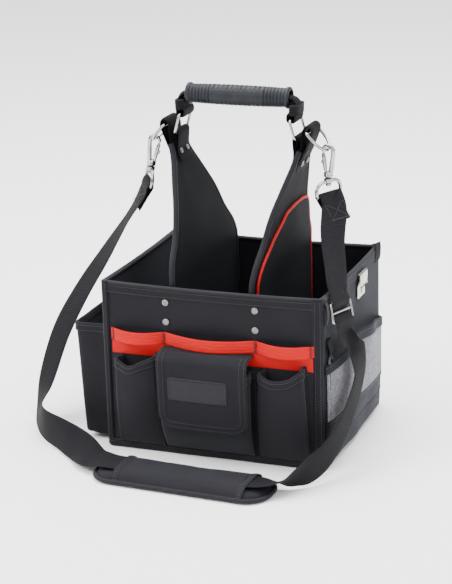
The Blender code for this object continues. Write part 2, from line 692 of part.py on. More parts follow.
def make_strap():
    """Webbing from the left bail along the floor to the pad, and up to the right bail."""
    start, across = bail_start("left", 0.0035)
    strap("strap_left", [
        (start, across),
        (Vector((-0.148, -0.005, 0.263)), Vector((0.60, -0.76, 0.00))),
        (Vector((-0.181, -0.012, 0.211)), Vector((0.62, -0.72, -0.15))),
        (Vector((-0.209, -0.022, 0.166)), Vector((0.68, -0.66, -0.20))),
        (Vector((-0.235, -0.035, 0.114)), Vector((0.76, -0.58, -0.22))),
        (Vector((-0.248, -0.054, 0.062)), Vector((0.80, -0.52, 0.10))),
        (Vector((-0.250, -0.072, 0.030)), Vector((0.60, -0.36, 0.68))),
        (Vector((-0.242, -0.096, 0.0215)), Vector((0.30, -0.10, 0.95))),
        (Vector((-0.222, -0.124, 0.0208)), Vector((0.00, 0.15, 0.98))),
        (Vector((-0.186, -0.148, 0.0200)), Vector((-0.10, 0.42, 0.90))),
        (Vector((-0.155, -0.165, 0.0150)), Vector((-0.16, 0.76, 0.62))),
        (Vector((-0.1290, -0.184, 0.0080)), Vector((-0.18, 0.95, 0.20)))])
    strap("strap_right", [
        (Vector((0.1150, -0.1975, 0.0078)), Vector((0.10, 0.99, 0.06))),
        (Vector((0.1250, -0.1890, 0.0200)), Vector((0.00, 0.62, 0.78))),
        (Vector((0.1370, -0.1710, 0.0222)), Vector((0.00, 0.15, 0.98))),
        (Vector((0.1490, -0.1450, 0.0300)), Vector((-0.05, -0.35, 0.93))),
        (Vector((0.1585, -0.1150, 0.0480)), Vector((-0.05, -0.62, 0.78))),
        (Vector((0.1650, -0.0860, 0.0760)), Vector((-0.05, -0.80, 0.55))),
        (Vector((0.1675, -0.0660, 0.1080)), Vector((-0.05, -0.97, 0.15))),
        (Vector((0.1645, -0.0750, 0.1370)), Vector((-0.10, -0.97, -0.10))),
        (SLIDER - 0.0280 * SLIDER_ALONG, -SLIDER_ACROSS),
        (SLIDER - 0.0150 * SLIDER_ALONG, -SLIDER_ACROSS)])
    make_slider()
    finish_point, across = bail_start("right", 0.0080)
    strap("strap_upper_loop", [
        (SLIDER + 0.0150 * SLIDER_ALONG, SLIDER_ACROSS),
        (SLIDER + 0.0280 * SLIDER_ALONG, SLIDER_ACROSS),
        (Vector((0.1395, -0.0650, 0.2330)), Vector((0.30, 0.93, -0.12))),
        (Vector((0.1270, -0.0360, 0.2640)), Vector((0.36, 0.93, -0.03))),
        (finish_point, across)])


def make_slider():
    """The flat three-bar buckle that sets the strap's length."""
    across = (SLIDER_ACROSS - SLIDER_ALONG * SLIDER_ACROSS.dot(SLIDER_ALONG)).normalized()
    face = across.cross(SLIDER_ALONG)
    turn = Matrix((across, SLIDER_ALONG, face)).transposed().to_4x4()
    place = Matrix.Translation(SLIDER) @ turn
    outer = rectangle(0.0235, 0.0120)
    windows = [[(u, v + shift) for u, v in rectangle(0.0198, 0.0036)] for shift in (-0.0053, 0.0053)]
    add("strap_slider", outline_curve("strap_slider", [outer, *windows], 0.003), "nickel", place)


def make_pad():
    """The shoulder pad, lying flat in front of the bag."""
    length, width, thickness = 0.225, 0.070, 0.0105
    corner = 0.030
    outline = []
    for u, v, start in ((1, 1, 0), (-1, 1, 90), (-1, -1, 180), (1, -1, 270)):
        centre = (u * (length / 2 - corner), v * (width / 2 - corner))
        outline += arc(centre, corner, start, start + 90, 6)
    place = Matrix.Translation((-0.0065, -0.198, thickness / 2)) @ Matrix.Rotation(-0.045, 4, "Z")
    add("shoulder_pad", outline_curve("shoulder_pad", [outline], thickness), "black_fabric", place)


clear_scene()
bag = new_collection("tool_bag")
cutters = new_collection("cutters")
make_shell()
for side_name, sign in (("left", -1), ("right", 1)):
    make_divider(side_name, sign)
    make_divider_pocket(side_name, sign)
    make_ring_tab(side_name, sign)
    make_tab_rivets(side_name, sign)
    make_dee_loop(side_name, sign)
    make_ring(side_name, sign)
    make_dee(side_name, sign)
    make_hook(side_name, sign)
make_wall_rivets()
make_front_pockets()
make_other_pockets()
make_tool_loops()
make_flap()
make_tape_clip()
make_tape_strap()
make_key_clip()
make_handle()
make_strap()
make_pad()
bpy.context.view_layer.update()
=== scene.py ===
from math import ceil, copysign, cos, pi, radians, sin, sqrt

import bmesh
import bpy
from mathutils import Matrix, Vector, noise
from mathutils.bvhtree import BVHTree


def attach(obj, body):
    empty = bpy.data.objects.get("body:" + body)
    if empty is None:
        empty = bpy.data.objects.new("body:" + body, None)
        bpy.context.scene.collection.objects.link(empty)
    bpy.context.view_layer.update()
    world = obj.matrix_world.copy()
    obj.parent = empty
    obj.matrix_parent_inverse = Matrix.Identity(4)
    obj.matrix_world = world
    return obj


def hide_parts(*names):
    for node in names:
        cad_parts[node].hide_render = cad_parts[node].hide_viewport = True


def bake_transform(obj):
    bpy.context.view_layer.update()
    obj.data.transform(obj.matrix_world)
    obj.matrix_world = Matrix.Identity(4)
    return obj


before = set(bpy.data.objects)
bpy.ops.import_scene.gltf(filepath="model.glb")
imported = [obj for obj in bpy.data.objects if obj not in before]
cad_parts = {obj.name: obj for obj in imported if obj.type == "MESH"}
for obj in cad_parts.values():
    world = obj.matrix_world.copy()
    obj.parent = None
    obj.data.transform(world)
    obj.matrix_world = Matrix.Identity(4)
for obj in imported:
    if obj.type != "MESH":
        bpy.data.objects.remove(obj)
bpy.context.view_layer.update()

# ------------------------------------------------------------------ camera, floor and lights
# The bag stands on a pale sweep of board, under one broad lamp on the left and two fills.
# The camera looks down a little on its front and its right end, and leans by a degree or two.
CAMERA_TURN = radians(21.1)
CAMERA_RISE = radians(17.8)
CAMERA_LEAN = radians(-1.63)
CAMERA_DISTANCE = 2.33
CAMERA_TARGET = Vector((-0.0237, 0.0, 0.172))
CAMERA_LENS_MM = 115.9
SKY_STRENGTH = 2.1
FLOOR_HALF = 22.0


def aimed(location, target):
    """A placing that looks from location to target, with Z kept upright."""
    turn = (Vector(target) - Vector(location)).to_track_quat("-Z", "Y")
    return Matrix.Translation(location) @ turn.to_matrix().to_4x4()


def in_scene(name, data):
    """A new object at the origin that shows the data."""
    item = bpy.data.objects.new(name, data)
    bpy.context.scene.collection.objects.link(item)
    return item


view = bpy.data.cameras.new("view")
view.lens = CAMERA_LENS_MM
view.sensor_width = 36.0
view.clip_end = 50.0
camera = in_scene("camera", view)
back = Vector((sin(CAMERA_TURN) * cos(CAMERA_RISE), -cos(CAMERA_TURN) * cos(CAMERA_RISE),
               sin(CAMERA_RISE)))
camera.matrix_world = (aimed(CAMERA_TARGET + back * CAMERA_DISTANCE, CAMERA_TARGET)
                       @ Matrix.Rotation(CAMERA_LEAN, 4, "Z"))
bpy.context.scene.camera = camera


def plain_finish(name, colour, roughness, metallic=0.0):
    """A Principled material and its node tree, ready for the piece's own detail."""
    material = bpy.data.materials.new(name)
    material.use_nodes = True
    shader = material.node_tree.nodes["Principled BSDF"]
    shader.inputs["Base Color"].default_value = (*colour, 1.0)
    shader.inputs["Roughness"].default_value = roughness
    shader.inputs["Metallic"].default_value = metallic
    return material, material.node_tree, shader


def add_node(tree, kind, **inputs):
    """A shader node with its sockets filled: numbers by value, other nodes' outputs by link."""
    item = tree.nodes.new(kind)
    for name, value in inputs.items():
        socket = item.inputs[name.replace("_", " ")]
        if isinstance(value, bpy.types.NodeSocket):
            tree.links.new(value, socket)
        else:
            socket.default_value = value
    return item


def ramp(tree, factor, stops):
    """A colour ramp between two (position, colour) stops."""
    item = add_node(tree, "ShaderNodeValToRGB", Fac=factor)
    for element, (position, colour) in zip(item.color_ramp.elements, stops):
        element.position = position
        element.color = (*colour, 1.0)
    return item.outputs["Color"]


def lamp(name, location, target, size, power, colour=(1.0, 1.0, 1.0)):
    """A rectangular area lamp that faces its target."""
    data = bpy.data.lights.new(name, "AREA")
    data.shape = "RECTANGLE"
    data.size, data.size_y = size
    data.energy = power
    data.color = colour
    in_scene(name, data).matrix_world = aimed(location, target)


lamp("key_lamp", (-1.7, -1.3, 2.1), (0.0, 0.0, 0.15), (1.6, 1.2), 78.0, (1.0, 0.985, 0.965))
lamp("top_lamp", (0.1, 0.5, 2.4), (0.0, 0.0, 0.1), (2.4, 1.8), 145.0)
lamp("side_lamp", (2.1, -0.9, 1.1), (0.0, 0.0, 0.2), (1.1, 1.4), 14.0, (0.94, 0.97, 1.0))
world = bpy.data.worlds.new("studio")
bpy.context.scene.world = world
world.use_nodes = True
sky = world.node_tree
sky_height = add_node(sky, "ShaderNodeSeparateXYZ",
                      Vector=sky.nodes.new("ShaderNodeTexCoord").outputs["Generated"])
sky_shade = ramp(sky, sky_height.outputs["Z"], [(0.02, (0.16, 0.16, 0.17)),
                                                (0.60, (1.0, 1.0, 1.0))])
sky.links.new(sky_shade, sky.nodes["Background"].inputs["Color"])
sky.nodes["Background"].inputs["Strength"].default_value = SKY_STRENGTH

board, _, board_shader = plain_finish("pale_board", (0.93, 0.93, 0.93), 0.75)
board_shader.inputs["Specular IOR Level"].default_value = 0.25
floor_mesh = bpy.data.meshes.new("floor")
floor_form = bmesh.new()
bmesh.ops.create_grid(floor_form, x_segments=1, y_segments=1, size=FLOOR_HALF)
floor_form.to_mesh(floor_mesh)
floor_form.free()
floor_mesh.materials.append(board)
floor = in_scene("floor", floor_mesh)
floor.location.z = -0.0005

# ------------------------------------------------------------------------ shell of the bag
# Four padded walls in one sewn loop: heavy coated polyester over 4 mm foam, with round
# corners, a little slack in each panel and a top edge that sags between the corners.
BAG_HALF_X = 0.1395
BAG_HALF_Y = 0.1165
WALL_TOP = 0.2104
WALL_THICKNESS = 0.0045
WALL_CORNER = 0.0060
WALL_SAG = 0.0022
BAND_DEPTH = 0.0010
STRAIGHT_X = 2 * (BAG_HALF_X - WALL_CORNER)
STRAIGHT_Y = 2 * (BAG_HALF_Y - WALL_CORNER)
QUARTER = pi / 2 * WALL_CORNER
PERIMETER = 2 * (STRAIGHT_X + STRAIGHT_Y) + 4 * QUARTER
FABRIC_DARK = (0.0060, 0.0058, 0.0078)
FABRIC_LIGHT = (0.0118, 0.0114, 0.0150)
SHARP_ANGLE = radians(48.0)
MERGE_DISTANCE = 0.000002


def bands(tree, where, pitch, direction):
    """Wave bands of that pitch, in metres, across one direction of a vector."""
    wave = add_node(tree, "ShaderNodeTexWave", Vector=where, Scale=pi / 10 / pitch)
    wave.bands_direction = direction
    return wave.outputs["Fac"]


def grain_of(tree, place, scale, detail=2.0):
    noise_node = add_node(tree, "ShaderNodeTexNoise", Vector=place, Scale=scale, Detail=detail)
    return noise_node.outputs["Fac"]


def combined(tree, operation, one, other):
    both = tree.nodes.new("ShaderNodeMath")
    both.operation = operation
    for socket, value in zip(both.inputs, (one, other)):
        if isinstance(value, bpy.types.NodeSocket):
            tree.links.new(value, socket)
        else:
            socket.default_value = value
    return both.outputs["Value"]


def scaled(tree, value, factor, plus):
    """A socket times a factor, plus a number or another socket."""
    return combined(tree, "ADD", combined(tree, "MULTIPLY", value, factor), plus)


def relief(tree, shader, height, strength, distance):
    bump = add_node(tree, "ShaderNodeBump", Height=height, Strength=strength, Distance=distance)
    tree.links.new(bump.outputs["Normal"], shader.inputs["Normal"])


def grained_finish(name, colour, roughness, scale, detail=2.0, metallic=0.0, stops=None,
                   haze=None, bump=None, gloss=None):
    """A finish with one fine grain over the piece. Its colour runs between two stops, its
    roughness is (spread, least) and its relief (strength, distance), where they are given."""
    material, tree, shader = plain_finish(name, colour, roughness, metallic)
    place = tree.nodes.new("ShaderNodeTexCoord").outputs["Object"]
    grain = grain_of(tree, place, scale, detail)
    if stops:
        tree.links.new(ramp(tree, grain, [(0.3, stops[0]), (0.7, stops[1])]),
                       shader.inputs["Base Color"])
    if haze:
        tree.links.new(scaled(tree, grain, *haze), shader.inputs["Roughness"])
    if bump:
        relief(tree, shader, grain, *bump)
    if gloss:
        shader.inputs["Specular IOR Level"].default_value = gloss
    return material


def woven_finish(name, dark, light, thread, roughness=0.82, sheen=0.06, depth=0.00018,
                 gloss=0.16):
    """Cloth whose weave follows the piece's own UV map, which is laid out in metres."""
    material, tree, shader = plain_finish(name, dark, roughness)
    weave = tree.nodes.new("ShaderNodeUVMap")
    weave.uv_map = "weave"
    place = tree.nodes.new("ShaderNodeTexCoord").outputs["Object"]
    warp = bands(tree, weave.outputs["UV"], thread, "X")
    weft = bands(tree, weave.outputs["UV"], thread, "Y")
    threads = combined(tree, "MULTIPLY", warp, weft)
    broad = grain_of(tree, place, 22.0, 4.0)
    mottle = scaled(tree, broad, 0.6, combined(tree, "MULTIPLY", threads, 0.4))
    tree.links.new(ramp(tree, mottle, [(0.25, dark), (0.75, light)]), shader.inputs["Base Color"])
    tree.links.new(scaled(tree, broad, 0.16, roughness - 0.08), shader.inputs["Roughness"])
    fuzz = grain_of(tree, place, 1400.0)
    height = combined(tree, "ADD", threads, combined(tree, "MULTIPLY", fuzz, 0.5))
    relief(tree, shader, height, 0.55, depth)
    shader.inputs["Sheen Weight"].default_value = sheen
    shader.inputs["Sheen Roughness"].default_value = 0.45
    shader.inputs["Sheen Tint"].default_value = (0.80, 0.86, 1.0, 1.0)
    shader.inputs["Specular IOR Level"].default_value = gloss
    return material


polyester = woven_finish("coated_polyester", FABRIC_DARK, FABRIC_LIGHT, 0.0011)
inner_cloth = woven_finish("inner_cloth", (0.009, 0.009, 0.011), (0.016, 0.016, 0.019), 0.0011,
                           sheen=0.12)


def put(name, mesh, material):
    """A finished mesh as a smooth object at the origin, with its sharp edges kept."""
    mesh.materials.clear()
    mesh.materials.append(material)
    for polygon in mesh.polygons:
        polygon.use_smooth = True
    mesh.set_sharp_from_angle(angle=SHARP_ANGLE)
    return in_scene(name, mesh)


def placed_on(piece, body, slot, *nodes):
    """Say which body a piece rides and the CAD nodes it stands for; its material slot is not used.
    """
    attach(piece, body)
    if nodes:
        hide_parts(*nodes)
    return piece


def sewn(piece, *nodes):
    """The usual placing: black cloth or tape sewn to the bag itself."""
    return placed_on(piece, "bag_body", "black_fabric", *nodes)


def running_lengths(points):
    """The length along a chain of points at each of them."""
    lengths = [0.0]
    for one, following in zip(points, points[1:]):
        lengths.append(lengths[-1] + (following - one).length)
    return lengths


def cloth_solid(name, outer, inner, material, closed=False):
    """A closed solid between two equal grids of points, rows by columns. Its columns join up
    when it is closed, and its UV map is laid out in metres along its own rows and columns."""
    form = bmesh.new()
    weave = form.loops.layers.uv.new("weave")
    middle = outer[len(outer) // 2]
    along = running_lengths([*middle, middle[0]] if closed else middle)
    up = running_lengths([row[len(row) // 2] for row in outer])
    grids = [[[form.verts.new(point) for point in row] for row in grid]
             for grid in (outer, inner)]
    spans = len(middle) if closed else len(middle) - 1

    def face(corners, places):
        made = form.faces.new(corners)
        for loop, place in zip(made.loops, places):
            loop[weave].uv = place

    for side, grid in enumerate(grids):
        for i in range(len(grid) - 1):
            for j in range(spans):
                k = (j + 1) % len(middle)
                corners = (grid[i][j], grid[i][k], grid[i + 1][k], grid[i + 1][j])
                places = ((along[j], up[i]), (along[j + 1], up[i]),
                          (along[j + 1], up[i + 1]), (along[j], up[i + 1]))
                if side:
                    corners, places = corners[::-1], places[::-1]
                face(corners, places)
    last = len(outer) - 1
    for i in (0, last):
        for j in range(spans):
            k = (j + 1) % len(middle)
            rim = (grids[0][i][j], grids[1][i][j], grids[1][i][k], grids[0][i][k])
            spots = ((along[j], up[i]), (along[j], up[i]), (along[j + 1], up[i]),
                     (along[j + 1], up[i]))
            face(rim if i == 0 else rim[::-1], spots if i == 0 else spots[::-1])
    if not closed:
        for j in (0, spans):
            for i in range(last):
                rim = (grids[0][i][j], grids[0][i + 1][j], grids[1][i + 1][j], grids[1][i][j])
                spots = ((along[j], up[i]), (along[j], up[i + 1]), (along[j], up[i + 1]),
                         (along[j], up[i]))
                face(rim if j == 0 else rim[::-1], spots if j == 0 else spots[::-1])
    bmesh.ops.remove_doubles(form, verts=form.verts, dist=MERGE_DISTANCE)
    bmesh.ops.recalc_face_normals(form, faces=form.faces)
    mesh = bpy.data.meshes.new(name)
    form.to_mesh(mesh)
    form.free()
    return put(name, mesh, material)


def backed(outer, thickness):
    """The grid that lies a thickness behind another one, along its own normals."""
    inner = []
    last = len(outer) - 1
    columns = len(outer[0])
    for i, row in enumerate(outer):
        below, above = outer[max(i - 1, 0)], outer[min(i + 1, last)]
        line = []
        for j, point in enumerate(row):
            across = row[min(j + 1, columns - 1)] - row[max(j - 1, 0)]
            normal = across.cross(above[j] - below[j])
            line.append(point - normal.normalized() * thickness)
        inner.append(line)
    return inner


def outline_at(s):
    """Point, outward direction and place along its panel, at a length s round the bag.
    The length starts at the front wall's left end and runs anticlockwise seen from above."""
    s %= PERIMETER
    turns = ((STRAIGHT_X, (-1, -1), (1, 0)), (STRAIGHT_Y, (1, -1), (0, 1)),
             (STRAIGHT_X, (1, 1), (-1, 0)), (STRAIGHT_Y, (-1, 1), (0, -1)))
    for straight, (corner_x, corner_y), (along_x, along_y) in turns:
        out = Vector((along_y, -along_x, 0))
        start = Vector((corner_x * (BAG_HALF_X - WALL_CORNER),
                        corner_y * (BAG_HALF_Y - WALL_CORNER), 0))
        along = Vector((along_x, along_y, 0))
        if s <= straight:
            return start + along * s + out * WALL_CORNER, out, s / straight
        s -= straight
        if s <= QUARTER:
            turn = s / WALL_CORNER
            direction = out * cos(turn) + along * sin(turn)
            return start + along * straight + direction * WALL_CORNER, direction, 0.0
        s -= QUARTER
    return outline_at(0.0)


def on_wall(s, z, lift=0.0):
    """A point of the shell at a length round it and a height, lifted off its outer face."""
    point, out, share = outline_at(s)
    height = z / WALL_TOP
    slack = -0.0012 * sin(pi * share) * sin(pi * min(height, 1.0))
    ripple = noise.noise(Vector((point.x * 16, point.y * 16, z * 19))) * 0.0006
    sag = -WALL_SAG * sin(pi * share) ** 0.8 * height ** 4
    place = point + out * (lift + slack + ripple * min(1.0, 4 * share * (1 - share) + 0.2))
    return Vector((place.x, place.y, z + sag))


def steps(start, end, size):
    """Evenly spaced values from start to end, no further apart than size."""
    count = max(1, ceil(abs(end - start) / size))
    return [start + (end - start) * i / count for i in range(count + 1)]


def wall_band(name, low, high, lift):
    """A band of cloth sewn round the shell's outer face, with its long edges turned in."""
    lengths = steps(0.0, PERIMETER, 0.0035)[:-1]
    edge = min(0.0012, (high - low) / 4)
    rows = [(low, 0.35), (low + edge * 0.4, 0.8), (low + edge, 1.0)]
    rows += [(z, 1.0) for z in steps(low + edge, high - edge, 0.004)[1:-1]]
    rows += [(high - edge, 1.0), (high - edge * 0.4, 0.8), (high, 0.35)]
    outer = [[on_wall(s, z, lift * full) for s in lengths] for z, full in rows]
    inner = [[on_wall(s, z, lift * full - BAND_DEPTH) for s in lengths] for z, full in rows]
    return cloth_solid(name, outer, inner, polyester, closed=True)


wall_lengths = steps(0.0, PERIMETER, 0.0032)[:-1]
wall_heights = [0.0, 0.0015, 0.004, *steps(0.008, WALL_TOP, 0.0045)]
outside = [[on_wall(s, z, -0.0012 if z == 0.0 else 0.0) for s in wall_lengths]
           for z in wall_heights]
inside = [[on_wall(s, z, -WALL_THICKNESS) for s in wall_lengths] for z in wall_heights]
shell = cloth_solid("bag_shell", outside, inside, polyester, closed=True)
sewn(shell, "front_wall", "rear_wall", "left_wall", "right_wall")

# The base is a stiff board in a sewn sleeve, slightly crowned between its edge seams.
BASE_TOP = 0.0058
base_rows = steps(-BAG_HALF_Y + 0.0045, BAG_HALF_Y - 0.0045, 0.008)
base_columns = steps(-BAG_HALF_X + 0.0045, BAG_HALF_X - 0.0045, 0.008)
crown = [[0.0009 * (1 - (x / BAG_HALF_X) ** 4) * (1 - (y / BAG_HALF_Y) ** 4)
          for x in base_columns] for y in base_rows]
base_upper = [[Vector((x, y, BASE_TOP - 0.0009 + crown[i][j])) for j, x in enumerate(base_columns)]
              for i, y in enumerate(base_rows)]
base_lower = [[Vector((x, y, 0.0004)) for x in base_columns] for y in base_rows]
base_board = cloth_solid("base_board", base_upper, base_lower, inner_cloth)
sewn(base_board, "base_panel")

# ------------------------------------------------------- bands, binding and corner posts
# A folded hem runs round the top, a double band round the foot, and a bound flange stands
# on each corner where the wall panels are joined. All are sewn with two rows of black thread.
HEM_HEIGHT = 0.0118
RIM_WIDTH = 0.0072
RIM_HEIGHT = 0.0052
FOOT_HEIGHT = 0.0118
TAPE_DARK = (0.0072, 0.0070, 0.0092)
TAPE_LIGHT = (0.0135, 0.0132, 0.0168)
STITCH_PITCH = 0.0036
STITCH_SHARE = 0.74
THREAD_RADIUS = 0.00034

bound_tape = woven_finish("binding_tape", TAPE_DARK, TAPE_LIGHT, 0.0008, roughness=0.7)
thread_finish, thread_tree, thread_shader = plain_finish("sewing_thread",
                                                         (0.045, 0.045, 0.052), 0.5)
thread_place = thread_tree.nodes.new("ShaderNodeTexCoord").outputs["Object"]
thread_twist = bands(thread_tree, thread_place, 0.0005, "DIAGONAL")
thread_colour = ramp(thread_tree, thread_twist, [(0.2, (0.010, 0.010, 0.012)),
                                                 (0.8, (0.030, 0.030, 0.035))])
thread_tree.links.new(thread_colour, thread_shader.inputs["Base Color"])


def growing_tree(name, source, **sizes):
    """A geometry nodes tree, its inputs' outlets and their identifiers by name: a source
    mesh, the named sizes with what they start at, and the finish of what it makes."""
    tree = bpy.data.node_groups.new(name, "GeometryNodeTree")
    tree.interface.new_socket("Result", in_out="OUTPUT", socket_type="NodeSocketGeometry")
    keys = {}
    for title, kind in ((source, "Geometry"), *[(size, "Float") for size in sizes],
                        ("finish", "Material")):
        socket = tree.interface.new_socket(title, in_out="INPUT", socket_type="NodeSocket" + kind)
        if title in sizes:
            socket.default_value = sizes[title]
        keys[title] = socket.identifier
    return tree, tree.nodes.new("NodeGroupInput").outputs, keys


def finish_tree(tree, geometry, finish):
    """End a tree in real geometry that has one finish."""
    real = add_node(tree, "GeometryNodeRealizeInstances", Geometry=geometry)
    painted = add_node(tree, "GeometryNodeSetMaterial", Geometry=real.outputs["Geometry"],
                       Material=finish)
    tree.links.new(painted.outputs["Geometry"], tree.nodes.new("NodeGroupOutput").inputs[0])


def stitch_tree():
    """Geometry nodes that turn edge chains into rows of separate stitches."""
    tree, start, keys = growing_tree("stitch_run", "seam_lines", pitch=STITCH_PITCH,
                                     length=STITCH_PITCH * STITCH_SHARE, radius=THREAD_RADIUS)
    chain = add_node(tree, "GeometryNodeMeshToCurve", Mesh=start["seam_lines"])
    spaced = add_node(tree, "GeometryNodeResampleCurve", Curve=chain.outputs["Curve"])
    spaced.mode = "LENGTH"
    tree.links.new(start["pitch"], spaced.inputs["Length"])
    along = tree.nodes.new("GeometryNodeInputTangent")
    turned = add_node(tree, "FunctionNodeAlignRotationToVector", Vector=along.outputs["Tangent"])
    turned.axis = "Z"
    bead = add_node(tree, "GeometryNodeMeshUVSphere", Segments=6, Rings=4, Radius=1.0)
    shape = add_node(tree, "ShaderNodeCombineXYZ", X=start["radius"], Y=start["radius"],
                     Z=combined(tree, "MULTIPLY", start["length"], 0.5))
    stretched = add_node(tree, "GeometryNodeTransform", Geometry=bead.outputs["Mesh"],
                         Scale=shape.outputs["Vector"])
    placed = add_node(tree, "GeometryNodeInstanceOnPoints", Points=spaced.outputs["Curve"],
                      Instance=stretched.outputs["Geometry"],
                      Rotation=turned.outputs["Rotation"])
    finish_tree(tree, placed.outputs["Instances"], start["finish"])
    return tree, keys


def made_plain(name, seed, material):
    """A piece with the plain mesh that a seed object evaluates to; the seed is removed."""
    graph = bpy.context.evaluated_depsgraph_get()
    mesh = bpy.data.meshes.new_from_object(seed.evaluated_get(graph))
    bpy.data.objects.remove(seed, do_unlink=True)
    mesh.name = name
    return put(name, mesh, material)


def grown(name, source, growth, material, **sizes):
    """What a geometry nodes tree makes from a source mesh, at these sizes and in a material."""
    tree, keys = growth
    seed = in_scene(name + "_seed", source)
    change = seed.modifiers.new("growth", "NODES")
    change.node_group = tree
    for title, value in {**sizes, "finish": material}.items():
        change[keys[title]] = value
    return made_plain(name, seed, material)


stitch_run = stitch_tree()


def stitched(name, lines, pitch=STITCH_PITCH):
    """Rows of stitches along lines of points."""
    source = bpy.data.meshes.new(name)
    points = [point for line in lines for point in line]
    edges = []
    first = 0
    for line in lines:
        edges += [(first + i, first + i + 1) for i in range(len(line) - 1)]
        first += len(line)
    source.from_pydata(points, edges, [])
    return grown(name, source, stitch_run, thread_finish, pitch=pitch,
                 length=pitch * STITCH_SHARE, radius=THREAD_RADIUS)


def sew(name, lines, pitch=STITCH_PITCH):
    """Rows of stitches on the bag itself."""
    sewn(stitched(name, lines, pitch))


top_hem = wall_band("top_hem", WALL_TOP - HEM_HEIGHT, WALL_TOP - 0.0002, 0.0011)
foot_band = wall_band("foot_band", 0.0006, FOOT_HEIGHT, 0.0014)
for band in (top_hem, foot_band):
    sewn(band)


def bead_section(width, height, sides=14):
    """An oval section: pairs of (out, up) offsets, anticlockwise."""
    return [(width / 2 * cos(2 * pi * i / sides), height / 2 * sin(2 * pi * i / sides))
            for i in range(sides)]


def tube(name, rings, material, closed=False):
    """A closed tube through rings of points; the ends are filled unless it joins up."""
    form = bmesh.new()
    weave = form.loops.layers.uv.new("weave")
    loops = [[form.verts.new(point) for point in ring] for ring in rings]
    count = len(loops[0])
    along = running_lengths([sum(ring, Vector()) / count for ring in rings])
    girth = running_lengths([*rings[0], rings[0][0]])
    spans = len(loops) if closed else len(loops) - 1
    for i in range(spans):
        k = (i + 1) % len(loops)
        far = along[i + 1] if i + 1 < len(along) else along[i] + (along[1] - along[0])
        for j in range(count):
            m = (j + 1) % count
            made = form.faces.new((loops[i][j], loops[i][m], loops[k][m], loops[k][j]))
            for loop, place in zip(made.loops, ((girth[j], along[i]), (girth[j + 1], along[i]),
                                                (girth[j + 1], far), (girth[j], far))):
                loop[weave].uv = place
    if not closed:
        form.faces.new(loops[0])
        form.faces.new(loops[-1])
    bmesh.ops.recalc_face_normals(form, faces=form.faces)
    mesh = bpy.data.meshes.new(name)
    form.to_mesh(mesh)
    form.free()
    return put(name, mesh, material)


rim_rings = []
for s in wall_lengths:
    centre = on_wall(s, WALL_TOP, -WALL_THICKNESS / 2)
    out = outline_at(s)[1]
    rim_rings.append([centre + out * u + Vector((0, 0, v + 0.0002))
                      for u, v in bead_section(RIM_WIDTH, RIM_HEIGHT)])
rim_bead = tube("rim_binding_tape", rim_rings, bound_tape, closed=True)
sewn(rim_bead, "rim_binding")

# Each corner's flange lies on the front or rear wall and stands a little above the rim.
CORNER_STARTS = [("front_left", -QUARTER / 2 - 0.001, 0.0088),
                 ("front_right", STRAIGHT_X - 0.0070, 0.0088 + QUARTER / 2),
                 ("rear_right", STRAIGHT_X + STRAIGHT_Y + 1.5 * QUARTER - 0.001, 0.0088),
                 ("rear_left", 2 * STRAIGHT_X + STRAIGHT_Y + 2 * QUARTER - 0.0070,
                  0.0088 + QUARTER / 2)]
for corner_name, start, width in CORNER_STARTS:
    columns = [(start + width * i / 8, sin(pi * i / 8) ** 0.35) for i in range(9)]
    rows = steps(0.0105, WALL_TOP + 0.0030, 0.006)
    outer = [[on_wall(s, z, 0.0008 + 0.0016 * full) for s, full in columns] for z in rows]
    inner = [[on_wall(s, z, -0.0020) for s, full in columns] for z in rows]
    post = cloth_solid("corner_post_" + corner_name, outer, inner, polyester)
    sewn(post)

shell_seams = []
for z, lift in ((WALL_TOP - 0.0028, 0.0013), (WALL_TOP - 0.0100, 0.0013),
                (FOOT_HEIGHT - 0.0022, 0.0016), (FOOT_HEIGHT - 0.0046, 0.0016)):
    shell_seams.append([on_wall(s, z, lift) for s in steps(0.0, PERIMETER, 0.004)])
for corner_name, start, width in CORNER_STARTS:
    for share in (0.30, 0.70):
        shell_seams.append([on_wall(start + width * share, z, 0.0025)
                            for z in steps(0.014, WALL_TOP - 0.002, 0.006)])
sew("shell_stitching", shell_seams)

# ------------------------------------------------------------------------------- dividers
# Two foam-filled panels stand across the bag, lean outwards and narrow to a neck that holds
# the handle. A smooth tape binds their long edges; slip pockets on their outer faces, bound
# in red, rise to an arch.
DIVIDER_LEAN = ((0.006, 0.0500), (0.213, 0.0500), (0.235, 0.0520), (0.260, 0.0555),
                (0.290, 0.0605), (0.320, 0.0690), (0.345, 0.0765), (0.362, 0.0822))
DIVIDER_EDGE = ((0.006, 0.1105), (0.213, 0.1105), (0.235, 0.1040), (0.260, 0.0830),
                (0.290, 0.0655), (0.320, 0.0460), (0.345, 0.0290), (0.362, 0.0222))
DIVIDER_BOTTOM = 0.0066
DIVIDER_HALF_THICKNESS = 0.0026
DIVIDER_TOP = 0.3610
BINDING_LOW = 0.150
BINDING_WIDTH = 0.0066
BINDING_HEIGHT = 0.0074
OVERLAY_LOW = 0.120
OVERLAY_HIGH = 0.2893
OVERLAY_FRONT_EDGE = ((0.120, -0.1000), (0.213, -0.0985), (0.235, -0.0880), (0.253, -0.0660),
                      (0.263, -0.0540), (0.276, -0.0290), (0.287, -0.0110), (0.290, 0.0200))
OVERLAY_REAR_EDGE = ((0.120, 0.1000), (0.213, 0.0985), (0.235, 0.0910), (0.255, 0.0820),
                     (0.272, 0.0740), (0.283, 0.0640), (0.289, 0.0480), (0.290, 0.0200))
RED_DARK = (0.30, 0.0035, 0.0045)
RED_LIGHT = (0.50, 0.0090, 0.0090)
RED_WIDTH = 0.0042
RED_HEIGHT = 0.0036

